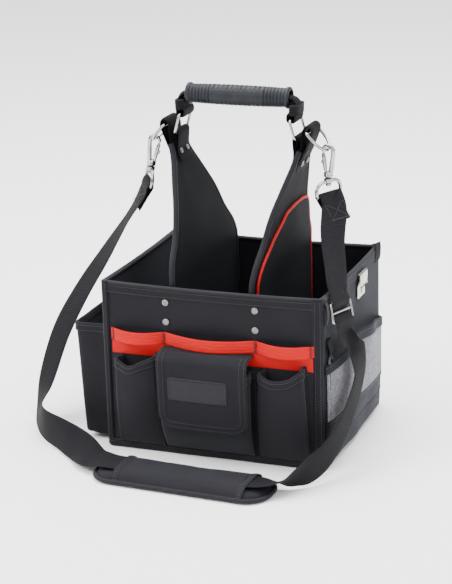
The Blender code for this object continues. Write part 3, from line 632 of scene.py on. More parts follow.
smooth_cloth = woven_finish("panel_cloth", (0.0018, 0.0018, 0.0023), (0.0040, 0.0040, 0.0050),
                            0.0008, roughness=0.75, sheen=0.02, depth=0.00010, gloss=0.07)
edge_tape = woven_finish("edge_tape", (0.0085, 0.0085, 0.0105), (0.0150, 0.0150, 0.0182), 0.0007,
                         roughness=0.65, sheen=0.04, gloss=0.12)
red_tape = woven_finish("red_tape", RED_DARK, RED_LIGHT, 0.0009, roughness=0.6, sheen=0.04)


def read_at(table, at):
    """A smooth value from a table of (position, value) pairs."""
    if at <= table[0][0]:
        return table[0][1]
    for i in range(len(table) - 1):
        (a, start), (b, end) = table[i], table[i + 1]
        if at <= b:
            t = (at - a) / (b - a)
            before = table[i - 1] if i else (2 * a - b, 2 * start - end)
            after = table[i + 2] if i + 2 < len(table) else (2 * b - a, 2 * end - start)
            rise = (end - before[1]) / (b - before[0]) * (b - a)
            fall = (after[1] - start) / (after[0] - a) * (b - a)
            return ((2 * t ** 3 - 3 * t * t + 1) * start + (t ** 3 - 2 * t * t + t) * rise
                    + (3 * t * t - 2 * t ** 3) * end + (t ** 3 - t * t) * fall)
    return table[-1][1]


def panel_frame(mirror, z):
    """A point on a divider's middle surface and its direction out of the bag's middle."""
    lean = read_at(DIVIDER_LEAN, z)
    slope = (read_at(DIVIDER_LEAN, z + 0.001) - read_at(DIVIDER_LEAN, z - 0.001)) / 0.002
    out = Vector((mirror, 0, -slope)).normalized()
    return Vector((mirror * lean, 0, z)), out


def divider_point(mirror, share, z, side):
    """A point on a divider's face: share runs -1 to 1 across it, side is +1 on its outside."""
    middle, out = panel_frame(mirror, z)
    half = read_at(DIVIDER_EDGE, z)
    fullness = 0.55 + 0.45 * min(1.0, 6 * (1 - abs(share))) ** 0.6
    dimple = noise.noise(Vector((share * 2.2, z * 14, 3.1 + mirror))) * 0.0005
    return (middle + Vector((0, share * half, 0))
            + out * side * (DIVIDER_HALF_THICKNESS * fullness + dimple))


X_WAY = Vector((1, 0, 0))
Y_WAY = Vector((0, 1, 0))
Z_WAY = Vector((0, 0, 1))


def for_each(value, points):
    """A value for every point: a list stays as it is, and a single value is repeated."""
    return value if isinstance(value, list) else [value] * len(points)


def oval_tube_along(name, centres, ups, width, height, material, closed=False, taper=0):
    """An oval tube along centres; an up vector is the direction of its height at each."""
    rings = []
    last = len(centres) - 1
    ups = for_each(ups, centres)
    for i, (centre, up) in enumerate(zip(centres, ups)):
        if closed:
            along = centres[(i + 1) % (last + 1)] - centres[i - 1]
        else:
            along = centres[min(i + 1, last)] - centres[max(i - 1, 0)]
        along.normalize()
        across = along.cross(up).normalized()
        up = across.cross(along)
        full = 1.0
        if taper:
            full = min(1.0, (0.35 + min(i, last - i)) / taper)
        rings.append([centre + across * u * full + up * v * full
                      for u, v in bead_section(width, height, 12)])
    return tube(name, rings, material, closed)


SIDES = (("left", -1), ("right", 1))
divider_seams = []
for side_name, mirror in SIDES:
    across_shares = [sin(pi / 2 * i / 20) for i in range(-20, 21)]
    panel_heights = steps(DIVIDER_BOTTOM, DIVIDER_TOP, 0.005)
    faces = {side: [[divider_point(mirror, share, z, side) for share in across_shares]
                    for z in panel_heights] for side in (1, -1)}
    panel = cloth_solid(side_name + "_divider_panel", faces[1], faces[-1], smooth_cloth)
    sewn(panel, side_name + "_divider")
    for end_name, end in (("front", -1), ("rear", 1)):
        heights = steps(BINDING_LOW, DIVIDER_TOP, 0.004)
        centres = []
        for z in heights:
            inwards = end * (read_at(DIVIDER_EDGE, z) - 0.0022)
            centres.append(panel_frame(mirror, z)[0] + Y_WAY * inwards)
        binding = oval_tube_along(f"{side_name}_divider_binding_{end_name}", centres,
                                  Y_WAY, BINDING_WIDTH, BINDING_HEIGHT, edge_tape)
        sewn(binding)
        divider_seams.append([divider_point(mirror, end * (1 - 0.0058 / read_at(DIVIDER_EDGE, z)),
                                            z, -1) for z in heights])
    overlay_heights = steps(OVERLAY_LOW, OVERLAY_HIGH, 0.004)
    lifts = {True: 0.0031, False: 0.0006}
    overlay_sides = []
    for lifted in (True, False):
        grid = []
        for z in overlay_heights:
            middle, out = panel_frame(mirror, z)
            low, high = read_at(OVERLAY_FRONT_EDGE, z), read_at(OVERLAY_REAR_EDGE, z)
            row = []
            for i in range(25):
                share = i / 24
                y = low + (high - low) * share
                bulge = 0.0022 * sin(pi * share) * sin(pi * min(1, (z - 0.115) / 0.19))
                face = divider_point(mirror, y / read_at(DIVIDER_EDGE, z), z, 1)
                row.append(face + out * (lifts[lifted] + bulge))
            grid.append(row)
        overlay_sides.append(grid)
    overlay = cloth_solid(side_name + "_slip_pocket", *overlay_sides, smooth_cloth)
    edge_points = []
    for table, order in ((OVERLAY_FRONT_EDGE, 1), (OVERLAY_REAR_EDGE, -1)):
        for z in overlay_heights[::order]:
            face = divider_point(mirror, read_at(table, z) / read_at(DIVIDER_EDGE, z), z, 1)
            edge_points.append(face + panel_frame(mirror, z)[1] * 0.0019)
    red_edge = oval_tube_along(side_name + "_slip_pocket_binding", edge_points,
                               [panel_frame(mirror, p.z)[1] for p in edge_points],
                               RED_WIDTH, RED_HEIGHT, red_tape)
    sewn(overlay, side_name + "_divider_pocket")
    placed_on(red_edge, "bag_body", "red_webbing")
sew("divider_stitching", divider_seams)

# --------------------------------------------------------------------------------- rivets
# Bright nickel rivets clamp the dividers through the front and rear walls, and the ring tabs
# to the dividers. Each head is domed, with a thin rim.
RIVET_X = 0.0565
RIVET_HEIGHTS = (0.168, 0.192)
RIVET_RADIUS = 0.0033
RIVET_DOME = 0.42
RIVET_RIM = 1.18
RIVET_RIM_DEPTH = 0.0009
TAB_RIVET_HEIGHT = 0.350
TAB_RIVET_OUTER_HEIGHT = 0.346
TAB_RIVET_RADIUS = 0.0031
TAB_RIVET_Y = 0.010

nickel = grained_finish("nickel_plate", (0.38, 0.375, 0.36), 0.16, 90.0, 5.0, metallic=1.0,
                        stops=((0.29, 0.285, 0.27), (0.46, 0.46, 0.448)), haze=(0.16, 0.07),
                        bump=(0.15, 0.0001))
rivet_metal = grained_finish("rivet_nickel", (0.20, 0.20, 0.195), 0.38, 420.0, 4.0,
                             metallic=1.0, stops=((0.14, 0.14, 0.135), (0.27, 0.27, 0.265)),
                             bump=(0.2, 0.0001))


def rivet_tree():
    """Geometry nodes that set a domed head, with a collar, on every point of a mesh."""
    tree, start, keys = growing_tree("rivet_heads", "places", radius=RIVET_RADIUS)
    facing = add_node(tree, "GeometryNodeInputNamedAttribute", Name="facing")
    facing.data_type = "FLOAT_VECTOR"
    turned = tree.nodes.new("FunctionNodeAlignRotationToVector")
    turned.axis = "Z"
    tree.links.new(facing.outputs["Attribute"], turned.inputs["Vector"])
    dome = add_node(tree, "GeometryNodeMeshUVSphere", Segments=20, Rings=10,
                    Radius=start["radius"])
    flat = add_node(tree, "GeometryNodeTransform", Geometry=dome.outputs["Mesh"],
                    Scale=(1.0, 1.0, RIVET_DOME))
    collar = add_node(tree, "GeometryNodeMeshCylinder", Vertices=20, Depth=RIVET_RIM_DEPTH,
                      Radius=combined(tree, "MULTIPLY", start["radius"], RIVET_RIM))
    both = add_node(tree, "GeometryNodeJoinGeometry", Geometry=flat.outputs["Geometry"])
    tree.links.new(collar.outputs["Mesh"], both.inputs["Geometry"])
    placed = add_node(tree, "GeometryNodeInstanceOnPoints", Points=start["places"],
                      Instance=both.outputs["Geometry"], Rotation=turned.outputs["Rotation"])
    finish_tree(tree, placed.outputs["Instances"], start["finish"])
    return tree, keys


rivet_heads = rivet_tree()


def set_rivets(name, places, replaced, radius=RIVET_RADIUS, material=rivet_metal,
               body="bag_body"):
    """Rivet heads at (point, direction) pairs, standing for the named nodes."""
    source = bpy.data.meshes.new(name)
    source.from_pydata([point for point, facing in places], [], [])
    facings = source.attributes.new("facing", "FLOAT_VECTOR", "POINT")
    for item, (point, facing) in zip(facings.data, places):
        item.vector = facing
    heads = grown(name, source, rivet_heads, material, radius=radius)
    placed_on(heads, body, "nickel", *replaced)


wall_rivets = {"front": [], "rear": []}
for x in (-RIVET_X, RIVET_X):
    for z in RIVET_HEIGHTS:
        wall_rivets["front"].append((Vector((x, -BAG_HALF_Y - 0.0004, z)), Vector((0, -1, 0))))
        wall_rivets["rear"].append((Vector((x, BAG_HALF_Y + 0.0004, z)), Vector((0, 1, 0))))
for wall_name, places in wall_rivets.items():
    set_rivets(wall_name + "_rivets", places, [f"{wall_name}_rivet_{i}" for i in (1, 2, 3, 4)])
for side_name, mirror in SIDES:
    middle, out = panel_frame(mirror, TAB_RIVET_HEIGHT)
    inner_heads = [(middle - out * 0.0060 + Vector((0, y, 0)), -out)
                   for y in (-TAB_RIVET_Y, TAB_RIVET_Y)]
    outer_middle, outer_out = panel_frame(mirror, TAB_RIVET_OUTER_HEIGHT)
    outer_heads = [(outer_middle + outer_out * 0.0054 + Vector((0, y, 0)), outer_out)
                   for y in (-TAB_RIVET_Y, TAB_RIVET_Y)]
    set_rivets(side_name + "_tab_rivets", inner_heads + outer_heads,
               [f"{side_name}_tab_rivet_{i}" for i in (1, 2)], TAB_RIVET_RADIUS)

# ------------------------------------------------------------ tool loops and front lining
# One band of red webbing is bartacked to the front wall at four places and stands off it
# between them, to make three loops. A second red band lies flat behind it, on black lining.
LOOP_LOW = 0.1410
LOOP_HIGH = 0.1560
LOOP_TACKS = (-0.1265, -0.0585, 0.0575, 0.1285)
LOOP_BULGES = (0.0110, 0.0135, 0.0110)
WEBBING_RIBS = 4
WEBBING_ROUGHNESS = 0.75

black_thread = grained_finish("bartack_thread", (0.012, 0.012, 0.014), 0.55, 2600.0,
                              stops=((0.007, 0.007, 0.008), (0.022, 0.022, 0.025)))


def webbing_finish(name, dark, light, pitch, sheen=0.02, gloss=0.12):
    """Ribbed webbing: slanted weft floats across the band and warp cords along it."""
    material, tree, shader = plain_finish(name, dark, WEBBING_ROUGHNESS)
    weave = tree.nodes.new("ShaderNodeUVMap")
    weave.uv_map = "weave"
    place = tree.nodes.new("ShaderNodeTexCoord").outputs["Object"]
    slanted = tree.nodes.new("ShaderNodeMapping")
    slanted.inputs["Rotation"].default_value = (0.0, 0.0, radians(28.0))
    tree.links.new(weave.outputs["UV"], slanted.inputs["Vector"])
    floats = bands(tree, slanted.outputs["Vector"], pitch, "Y")
    cords = bands(tree, weave.outputs["UV"], pitch * 0.8, "X")
    pattern = scaled(tree, floats, 0.68, combined(tree, "MULTIPLY", cords, 0.32))
    wear = grain_of(tree, place, 40.0, 4.0)
    mottle = scaled(tree, wear, 0.3, combined(tree, "MULTIPLY", pattern, 0.7))
    tree.links.new(ramp(tree, mottle, [(0.22, dark), (0.80, light)]), shader.inputs["Base Color"])
    tree.links.new(scaled(tree, wear, 0.2, WEBBING_ROUGHNESS - 0.1), shader.inputs["Roughness"])
    relief(tree, shader, pattern, 0.8, 0.0004)
    shader.inputs["Sheen Weight"].default_value = sheen
    shader.inputs["Sheen Roughness"].default_value = 0.4
    shader.inputs["Specular IOR Level"].default_value = gloss
    return material


red_webbing = webbing_finish("red_webbing", (0.34, 0.0035, 0.0045), (0.60, 0.0100, 0.0100), 0.0016,
                             sheen=0.03)


def loop_point(x, z):
    """A point on the front face of the band of loops."""
    out = 0.0
    for (start, end), bulge in zip(zip(LOOP_TACKS, LOOP_TACKS[1:]), LOOP_BULGES):
        if start <= x <= end:
            share = (x - start) / (end - start)
            out = bulge * sin(pi * share) ** 0.9
    tack = min(abs(x - at) for at in LOOP_TACKS)
    pinch = 0.0008 * max(0.0, 1 - tack / 0.008)
    droop = 0.0012 * out / 0.011
    middle = (LOOP_LOW + LOOP_HIGH) / 2
    squeezed = middle + (z - middle) * (1 - pinch / 0.010) - droop
    return Vector((x, -0.1190 - out + pinch * 0.6, squeezed))


band_columns = steps(LOOP_TACKS[0] - 0.001, LOOP_TACKS[-1] + 0.001, 0.0020)
band_heights = steps(LOOP_LOW, LOOP_HIGH, 0.00075)
band_front = []
for z in band_heights:
    share = (z - LOOP_LOW) / (LOOP_HIGH - LOOP_LOW)
    rib = 0.00055 * abs(sin(pi * WEBBING_RIBS * share)) ** 0.6 - 0.0002
    band_front.append([loop_point(x, z) + Vector((0, -rib, 0)) for x in band_columns])
band_rear = [[loop_point(x, z) + Vector((0, 0.0014, 0)) for x in band_columns]
             for z in band_heights]
tool_loops = cloth_solid("tool_loops", band_front, band_rear, red_webbing)
placed_on(tool_loops, "bag_body", "red_webbing", "tool_loop_webbing")

tacks = []
for x in LOOP_TACKS[1:-1]:
    for i in range(9):
        z = LOOP_LOW + 0.0002 + (LOOP_HIGH - LOOP_LOW - 0.0004) * i / 8
        shift = 0.0011 if i % 2 else -0.0011
        tacks.append(Vector((x + shift, -0.1204, z)))
tack_lines = [tacks[:9], tacks[9:]]
for x in (LOOP_TACKS[0] + 0.002, LOOP_TACKS[-1] - 0.002):
    tack_lines.append([Vector((x + (0.0009 if i % 2 else -0.0009), -0.1212, LOOP_LOW + 0.0019 * i))
                       for i in range(9)])
bartacks = bpy.data.curves.new("bartacks", "CURVE")
bartacks.dimensions = "3D"
bartacks.bevel_depth = 0.00065
bartacks.bevel_resolution = 2
bartacks.use_fill_caps = True
for line in tack_lines:
    spline = bartacks.splines.new("POLY")
    spline.points.add(len(line) - 1)
    for point, place in zip(spline.points, line):
        point.co = (*place, 1.0)


bartack_rows = made_plain("bartack_rows", in_scene("bartack_guide", bartacks), black_thread)
sewn(bartack_rows)


def flat_sheet(name, low, high, y_front, y_back, material, puff=0.0):
    """An upright sheet against the front wall, between two corners in X and Z."""
    columns, rows = steps(low[0], high[0], 0.004), steps(low[1], high[1], 0.003)
    front = []
    for z in rows:
        v = (z - low[1]) / (high[1] - low[1])
        front.append([Vector((x, y_front - puff * sin(pi * v) ** 0.5
                              * (1 + 0.5 * noise.noise(Vector((x * 30, z * 40, 0)))), z))
                      for x in columns])
    rear = [[Vector((x, y_back, z)) for x in columns] for z in rows]
    return cloth_solid(name, front, rear, material)


red_backing = flat_sheet("red_loop_backing", (-0.1268, 0.1235), (0.1280, 0.1400), -0.1184,
                         -0.1168, red_webbing, 0.0005)
lining = flat_sheet("front_lining", (-0.1275, 0.0130), (0.1278, 0.1262), -0.1179, -0.1169,
                    inner_cloth)
placed_on(red_backing, "bag_body", "red_webbing")
sewn(lining, "pocket_lining")

# -------------------------------------------------------------------------- front pockets
# Three pockets of the same coated polyester are sewn over the lining: two narrow ones and a
# deeper one between them. Each has pleated sides, a foot drawn in at the base seam, and a
# mouth that gapes and is hemmed with two rows of stitches.
FRONT_WALL_FACE = -0.1182
POCKET_FOOT = 0.0112
CLOTH_THICKNESS = 0.0015
POCKET_HEM = 0.0105
SIDE_STEPS = 6
CORNER_STEPS = 5
HEM_LIFTS = (0.0003, 0.0010, 0.0011, 0.0011, 0.0011, 0.0011, 0.0011, 0.0009, 0.0002)
HEM_SEAMS = (0.16, 0.78)
HEM_SEAM_LIFT = 0.0013


def pocket_columns(width, depth, corner, front_steps):
    """The U of a pocket seen from above, as (along, out, front share, side share) stations."""
    stations = []
    for i in range(SIDE_STEPS + 1):
        share = i / SIDE_STEPS
        stations.append((0.0, (depth - corner) * share, 0.0, sin(pi * share * 0.5)))
    for i in range(1, CORNER_STEPS):
        turn = pi / 2 * i / CORNER_STEPS
        stations.append((corner * (1 - cos(turn)), depth - corner + corner * sin(turn), 0.0, 0.0))
    for i in range(front_steps + 1):
        share = i / front_steps
        stations.append((corner + (width - 2 * corner) * share, depth, share, 0.0))
    mirrored = [(width - along, out, 0.0, side) for along, out, _, side
                in stations[:SIDE_STEPS + CORNER_STEPS][::-1]]
    return [*stations, *mirrored]


def pocket_grid(spec, rows):
    """Outer points of a pocket: rows are (height share, out share) pairs, foot first."""
    width, depth, low = spec["width"], spec["depth"], spec["low"]
    stations = pocket_columns(width, depth, spec["corner"], spec["front_steps"])
    grid = []
    for height, reach in rows:
        line = []
        for along, out, front, side in stations:
            share = along / width
            top = read_at(spec["top"], share)
            z = low + (top - low) * height
            swell = spec["bulge"] * sin(pi * front) ** 0.8 * sin(pi * min(1, 0.12 + 0.80 * height))
            gape = spec["gape"] * sin(pi * front) * height ** 5
            pleat = spec["pleat"] * (1.0 if 0 < side < 1 else 0.0) * sin(pi * side)
            inwards = pleat if share < 0.5 else -pleat
            fold = noise.noise(Vector((along * 26 + spec["seed"], z * 17, spec["seed"])))
            ripple = fold * 0.0011 * (1.0 if front else 0.4) * min(1.0, height * 4)
            inwards += (0.5 - share) * spec.get("draw", 0.0) * height
            line.append(spec["place"](along + inwards, out * reach + swell + gape + ripple, z))
        grid.append(line)
    return grid


def tapering_rows(full_at):
    """Rows of a pocket that leaves the wall at its foot and is full at that height share."""
    return [(0.0, 0.02), (0.0, 0.08), (0.004, 0.13),
            *[(h, 0.13 + 0.87 * sin(pi / 2 * min(1.0, h / full_at)))
              for h in [0.015 + 0.985 * i / 34 for i in range(35)]]]


def hem_sides(surface, lifts, thickness):
    """The outer and inner grids of a hem that stands off a surface by a lift for each row."""
    outer, inner = [], []
    for row, behind, lift in zip(surface, backed(surface, 1.0), lifts):
        outer.append([p + (p - q) * lift for p, q in zip(row, behind)])
        inner.append([p - (p - q) * (thickness + lift) for p, q in zip(row, behind)])
    return outer, inner


def make_pocket(name, spec, node):
    """A pocket, its hem and its stitching; the pocket stands for a CAD node."""
    outer = pocket_grid(spec, spec["rows"])
    pouch = cloth_solid(name, outer, backed(outer, CLOTH_THICKNESS), polyester)
    sewn(pouch, node)
    middle_height = read_at(spec["top"], 0.5) - spec["low"]
    hem_start = 1 - POCKET_HEM / middle_height
    hem_shares = [hem_start + (1.004 - hem_start) * i / 8 for i in range(9)]
    surface = pocket_grid(spec, [(share, 1.0) for share in hem_shares])
    hem = cloth_solid(name + "_hem",
                      *hem_sides(surface, HEM_LIFTS, CLOTH_THICKNESS + 0.0002), polyester)
    sewn(hem)
    lines = []
    for seam in HEM_SEAMS:
        share = hem_start + (1 - hem_start) * seam
        line = pocket_grid(spec, [(share, 1.0), (share + 0.01, 1.0)])
        behind = backed(line, 1.0)[0]
        lines.append([p + (p - q) * HEM_SEAM_LIFT for p, q in zip(line[0], behind)])
    sew(name + "_stitching", lines)


def on_front(left):
    """Places along, out of and up the front wall, for a pocket whose left edge is there."""
    return lambda along, out, z: Vector((left + along, FRONT_WALL_FACE - out, z))


NARROW_POCKET = dict(corner=0.0055, low=POCKET_FOOT, front_steps=24, bulge=0.0030, gape=0.0035,
                     pleat=0.0040, rows=tapering_rows(0.80))
FRONT_POCKETS = {
    "left": dict(NARROW_POCKET, width=0.0610, draw=0.008, depth=0.0180, seed=1.7,
                 top=((0.0, 0.1225), (0.35, 0.1150), (0.7, 0.1225), (1.0, 0.1290)),
                 place=on_front(-0.1215)),
    "centre": dict(width=0.1140, depth=0.0245, corner=0.0065, low=POCKET_FOOT, front_steps=40,
                   top=((0.0, 0.1195), (0.5, 0.1160), (1.0, 0.1185)), bulge=0.0010, gape=0.0,
                   pleat=0.0045, seed=4.3, place=on_front(-0.0590), rows=tapering_rows(0.45)),
    "right": dict(NARROW_POCKET, width=0.0650, draw=0.010, depth=0.0185, seed=8.9,
                  top=((0.0, 0.1215), (0.3, 0.1150), (0.7, 0.1185), (1.0, 0.1300)),
                  place=on_front(0.0598))}
for pocket_name, spec in FRONT_POCKETS.items():
    make_pocket("front_pouch_" + pocket_name, spec, "front_pocket_" + pocket_name)

# ------------------------------------------------------------------------ flap and badge
# A padded lid over the middle pocket, sewn on under the tool loops. A wide folded border
# with two rows of stitches frames it, its lower corners are round, and a smooth moulded
# patch with a raised rim and nothing on it is welded to its face.
FLAP_X = -0.0020
FLAP_HALF = 0.0570
FLAP_HINGE_Y = -0.1345
FLAP_TOP = 0.1372
FLAP_RADIUS = 0.0121
FLAP_LOW = 0.0445
FLAP_CORNER = 0.0190
FLAP_BORDER = 0.0108
FLAP_HALF_THICKNESS = 0.0012
FLAP_SEAMS = (0.0028, 0.0086)
FLAP_ARC = pi / 2 * FLAP_RADIUS
FLAP_LENGTH = FLAP_ARC + FLAP_TOP - FLAP_RADIUS - FLAP_LOW


def inside_by(u, v, corner):
    """How far a point lies inside a rounded outline: u and v are past its corner's centre."""
    return corner - (sqrt(u * u + v * v) if u > 0 and v > 0 else max(u, v))


def corner_pull(short, corner):
    """How far a rounded outline draws in at a length short of its corner's centre."""
    return corner - sqrt(max(corner ** 2 - max(short, 0.0) ** 2, 0.0))


def eased(low, high, at):
    """A smooth rise from 0 at low to 1 at high."""
    t = min(1.0, max(0.0, (at - low) / (high - low)))
    return t * t * (3 - 2 * t)


def flap_point(x, length):
    """A point of the flap's face and its outward direction, at a length down from the hinge."""
    if length < FLAP_ARC:
        turn = length / FLAP_RADIUS
        out = Vector((0, -sin(turn), cos(turn)))
        middle = Vector((x, FLAP_HINGE_Y, FLAP_TOP - FLAP_RADIUS)) + out * FLAP_RADIUS
        height = 1.0
    else:
        out = Vector((0, -1, 0))
        middle = Vector((x, FLAP_HINGE_Y - FLAP_RADIUS, FLAP_TOP - FLAP_RADIUS
                         - (length - FLAP_ARC)))
        height = (middle.z - FLAP_LOW) / (FLAP_TOP - FLAP_RADIUS - FLAP_LOW)
        middle.y += 0.0045 * (1 - min(1.0, height)) ** 1.5
    share = (x - FLAP_X) / FLAP_HALF
    swell = (0.0034 * (1 - share * share) * sin(pi * min(1.0, 0.25 + 0.72 * height))
             if height < 1 else 0.0034 * (1 - share * share) * sin(pi * 0.97)
             + 0.0012 * (1 - share * share) * sin(length / FLAP_RADIUS * 2))
    fold = noise.noise(Vector((x * 24, middle.z * 21, 5.5))) * 0.0007
    return middle + out * (swell + fold), out


def flap_grids(lengths, columns):
    """The face and the back of the flap; its border is a step thicker than its middle."""
    face, rear = [], []
    for length in lengths:
        z = FLAP_TOP - FLAP_RADIUS - (length - FLAP_ARC)
        half = FLAP_HALF - corner_pull(FLAP_LOW + FLAP_CORNER - z, FLAP_CORNER)
        front_row, back_row = [], []
        for i in range(columns + 1):
            x = FLAP_X + half * (2 * i / columns - 1)
            inset = inside_by(abs(x - FLAP_X) - (FLAP_HALF - FLAP_CORNER),
                              FLAP_LOW + FLAP_CORNER - z, FLAP_CORNER)
            point, out = flap_point(x, length)
            border = 0.0009 * (1 - eased(FLAP_BORDER - 0.0006, FLAP_BORDER + 0.0010, inset))
            groove = 0.00035 * sum(max(0.0, 1 - abs(inset - at) / 0.0011)
                                   for at in FLAP_SEAMS)
            rounded = 0.0009 * (1 - eased(0.0, 0.0014, inset))
            front_row.append(point + out * (FLAP_HALF_THICKNESS + border - groove - rounded))
            back_row.append(point - out * (FLAP_HALF_THICKNESS - 0.5 * rounded))
        face.append(front_row)
        rear.append(back_row)
    return face[::-1], rear[::-1]


flap_lengths = [FLAP_LENGTH - 0.00005, FLAP_LENGTH - 0.0005,
                *steps(FLAP_LENGTH - 0.0012, 0.0, 0.0011)]
flap_face, flap_rear = flap_grids(flap_lengths[::-1], 92)
flap = cloth_solid("flap_panel", flap_face, flap_rear, polyester)
flap_border_lines = []
for inset in FLAP_SEAMS:
    line = []
    for length in steps(0.002, FLAP_LENGTH - FLAP_CORNER, 0.004):
        point, out = flap_point(FLAP_X - FLAP_HALF + inset, length)
        line.append(point + out * 0.0020)
    for i in range(1, 12):
        turn = pi / 2 * i / 12
        reach = FLAP_CORNER - inset
        point, out = flap_point(FLAP_X - FLAP_HALF + FLAP_CORNER - reach * cos(turn),
                                FLAP_LENGTH - FLAP_CORNER + reach * sin(turn))
        line.append(point + out * 0.0020)
    line += [flap_point(x, FLAP_LENGTH - inset)[0] + Vector((0, -0.0020, 0))
             for x in steps(FLAP_X - FLAP_HALF + FLAP_CORNER, FLAP_X, 0.004)]
    other = [Vector((2 * FLAP_X - p.x, p.y, p.z)) for p in line[::-1]]
    flap_border_lines.append([*line, *other])


def bends_with_flap(piece):
    """Bake the piece's placing into its mesh."""
    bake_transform(piece)


bends_with_flap(flap)
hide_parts("pocket_flap", "flap_root")
flap_stitches = stitched("flap_stitching", flap_border_lines)
bends_with_flap(flap_stitches)

seam_rows = steps(-0.1176, FLAP_HINGE_Y + 0.0002, 0.0012)
seam_columns = steps(FLAP_X - FLAP_HALF, FLAP_X + FLAP_HALF, 0.0024)


def seam_surface(x, y, up):
    """A point on the cloth that joins the flap to the wall, slightly swollen."""
    share = (x - FLAP_X) / FLAP_HALF
    rise = 0.0012 * (1 - share * share) * sin(pi * (y + 0.1176) / (FLAP_HINGE_Y + 0.1176))
    return Vector((x, y, FLAP_TOP + rise + up))


seam_upper = [[seam_surface(x, y, FLAP_HALF_THICKNESS) for x in seam_columns]
              for y in seam_rows[::-1]]
seam_lower = [[seam_surface(x, y, -FLAP_HALF_THICKNESS) for x in seam_columns]
              for y in seam_rows[::-1]]
flap_sewn_edge = cloth_solid("flap_sewn_edge", seam_upper, seam_lower, polyester)
sewn(flap_sewn_edge, "flap_seam")

BADGE_LOW = (-0.0445, 0.0815)
BADGE_HIGH = (0.0310, 0.1105)
BADGE_CORNER = 0.0030

badge_rubber = grained_finish("moulded_patch", (0.0060, 0.0058, 0.0075), 0.46, 900.0, 3.0,
                              stops=((0.010, 0.010, 0.013), (0.017, 0.017, 0.021)),
                              bump=(0.25, 0.0001), gloss=0.14)


def badge_inset(x, z):
    """How far a point lies inside the patch's rounded outline."""
    past = [BADGE_CORNER + max(low - at, at - high)
            for at, low, high in zip((x, z), BADGE_LOW, BADGE_HIGH)]
    return inside_by(*past, BADGE_CORNER)


badge_face, badge_back = [], []
for z in steps(BADGE_LOW[1], BADGE_HIGH[1], 0.0006):
    pull = corner_pull(BADGE_CORNER - min(z - BADGE_LOW[1], BADGE_HIGH[1] - z), BADGE_CORNER)
    low_x, high_x = BADGE_LOW[0] + pull, BADGE_HIGH[0] - pull
    face_row, back_row = [], []
    for i in range(97):
        x = low_x + (high_x - low_x) * i / 96
        point, out = flap_point(x, FLAP_ARC + FLAP_TOP - FLAP_RADIUS - z)
        inset = badge_inset(x, z)
        rim = 0.0011 * eased(-0.0001, 0.0009, inset) - 0.0006 * eased(0.0019, 0.0026, inset)
        face_row.append(point + out * (FLAP_HALF_THICKNESS + 0.0001 + rim))
        back_row.append(point + out * (FLAP_HALF_THICKNESS - 0.0006))
    badge_face.append(face_row)
    badge_back.append(back_row)
badge = cloth_solid("flap_patch", badge_face, badge_back, badge_rubber)
placed_on(badge, "pocket_flap", "badge_rubber", "flap_badge")

# --------------------------------------------------------------- left and rear pockets
# A deep box pocket fills the left end, and a plain flat pocket lies across the rear wall.
REAR_ROWS = [(0.0, 0.02), (0.0, 0.40), (0.0, 0.70), (0.006, 0.80), (0.02, 0.86), (0.05, 0.90),
             (0.09, 0.935), (0.14, 0.955),
             *[(0.19 + 0.81 * i / 26, min(1.0, 0.96 + 0.04 * i / 8)) for i in range(27)]]
SIDE_ROWS = [(0.0, 0.02), (0.0, 0.40), (0.0, 0.78), (0.004, 0.815), (0.014, 0.832),
             *[(0.03 + 0.97 * i / 30, 0.84 + 0.16 * i / 30) for i in range(31)]]


def on_left(along, out, z):
    return Vector((-0.1404 - out, 0.1000 - along, z))


def on_rear(along, out, z):
    return Vector((0.0980 - along, 0.1174 + out, z))


SIDE_POCKET = dict(width=0.2000, depth=0.0452, corner=0.0070, low=0.0085, rows=SIDE_ROWS,
                   front_steps=50, top=((0.0, 0.1500), (0.5, 0.1475), (1.0, 0.1500)),
                   bulge=0.0020, gape=0.0020, pleat=0.0012, seed=2.6, place=on_left)
REAR_POCKET = dict(width=0.2200, depth=0.0180, corner=0.0060, low=POCKET_FOOT, rows=REAR_ROWS,
                   front_steps=55, top=((0.0, 0.1250), (0.5, 0.1220), (1.0, 0.1250)),
                   bulge=0.0020, gape=0.0030, pleat=0.0030, seed=6.1, place=on_rear)
make_pocket("side_pouch", SIDE_POCKET, "left_side_pocket")
make_pocket("rear_pouch", REAR_POCKET, "rear_pocket")

# ---------------------------------------------------------------------------- mesh pocket
# The right end has a slack pocket: a solid foot with a seam across it, a panel of silver-grey
# knitted net, and a gathered hem that stands off the wall in two soft waves.
MESH_REACH = 0.1120
MESH_FOOT = 0.0085
MESH_LOW_EDGE = ((-0.1120, 0.0570), (-0.0420, 0.0620), (0.0400, 0.0560), (0.1120, 0.0470))
MESH_HIGH_EDGE = ((-0.1120, 0.1180), (-0.0640, 0.1250), (-0.0100, 0.1300), (0.0500, 0.1220),
                  (0.1120, 0.1090))
MESH_TOP_EDGE = ((-0.1120, 0.1300), (-0.0640, 0.1400), (-0.0100, 0.1440), (0.0500, 0.1350),
                 (0.1120, 0.1210))
NET_CELL = 0.0023
NET_STRAND = 0.00042

net_finish = grained_finish("silver_net", (0.42, 0.42, 0.45), 0.42, 260.0, 3.0,
                            stops=((0.13, 0.13, 0.148), (0.31, 0.31, 0.345)),
                            bump=(0.4, 0.0002))
net_shader = net_finish.node_tree.nodes["Principled BSDF"]
net_shader.inputs["Sheen Weight"].default_value = 0.3


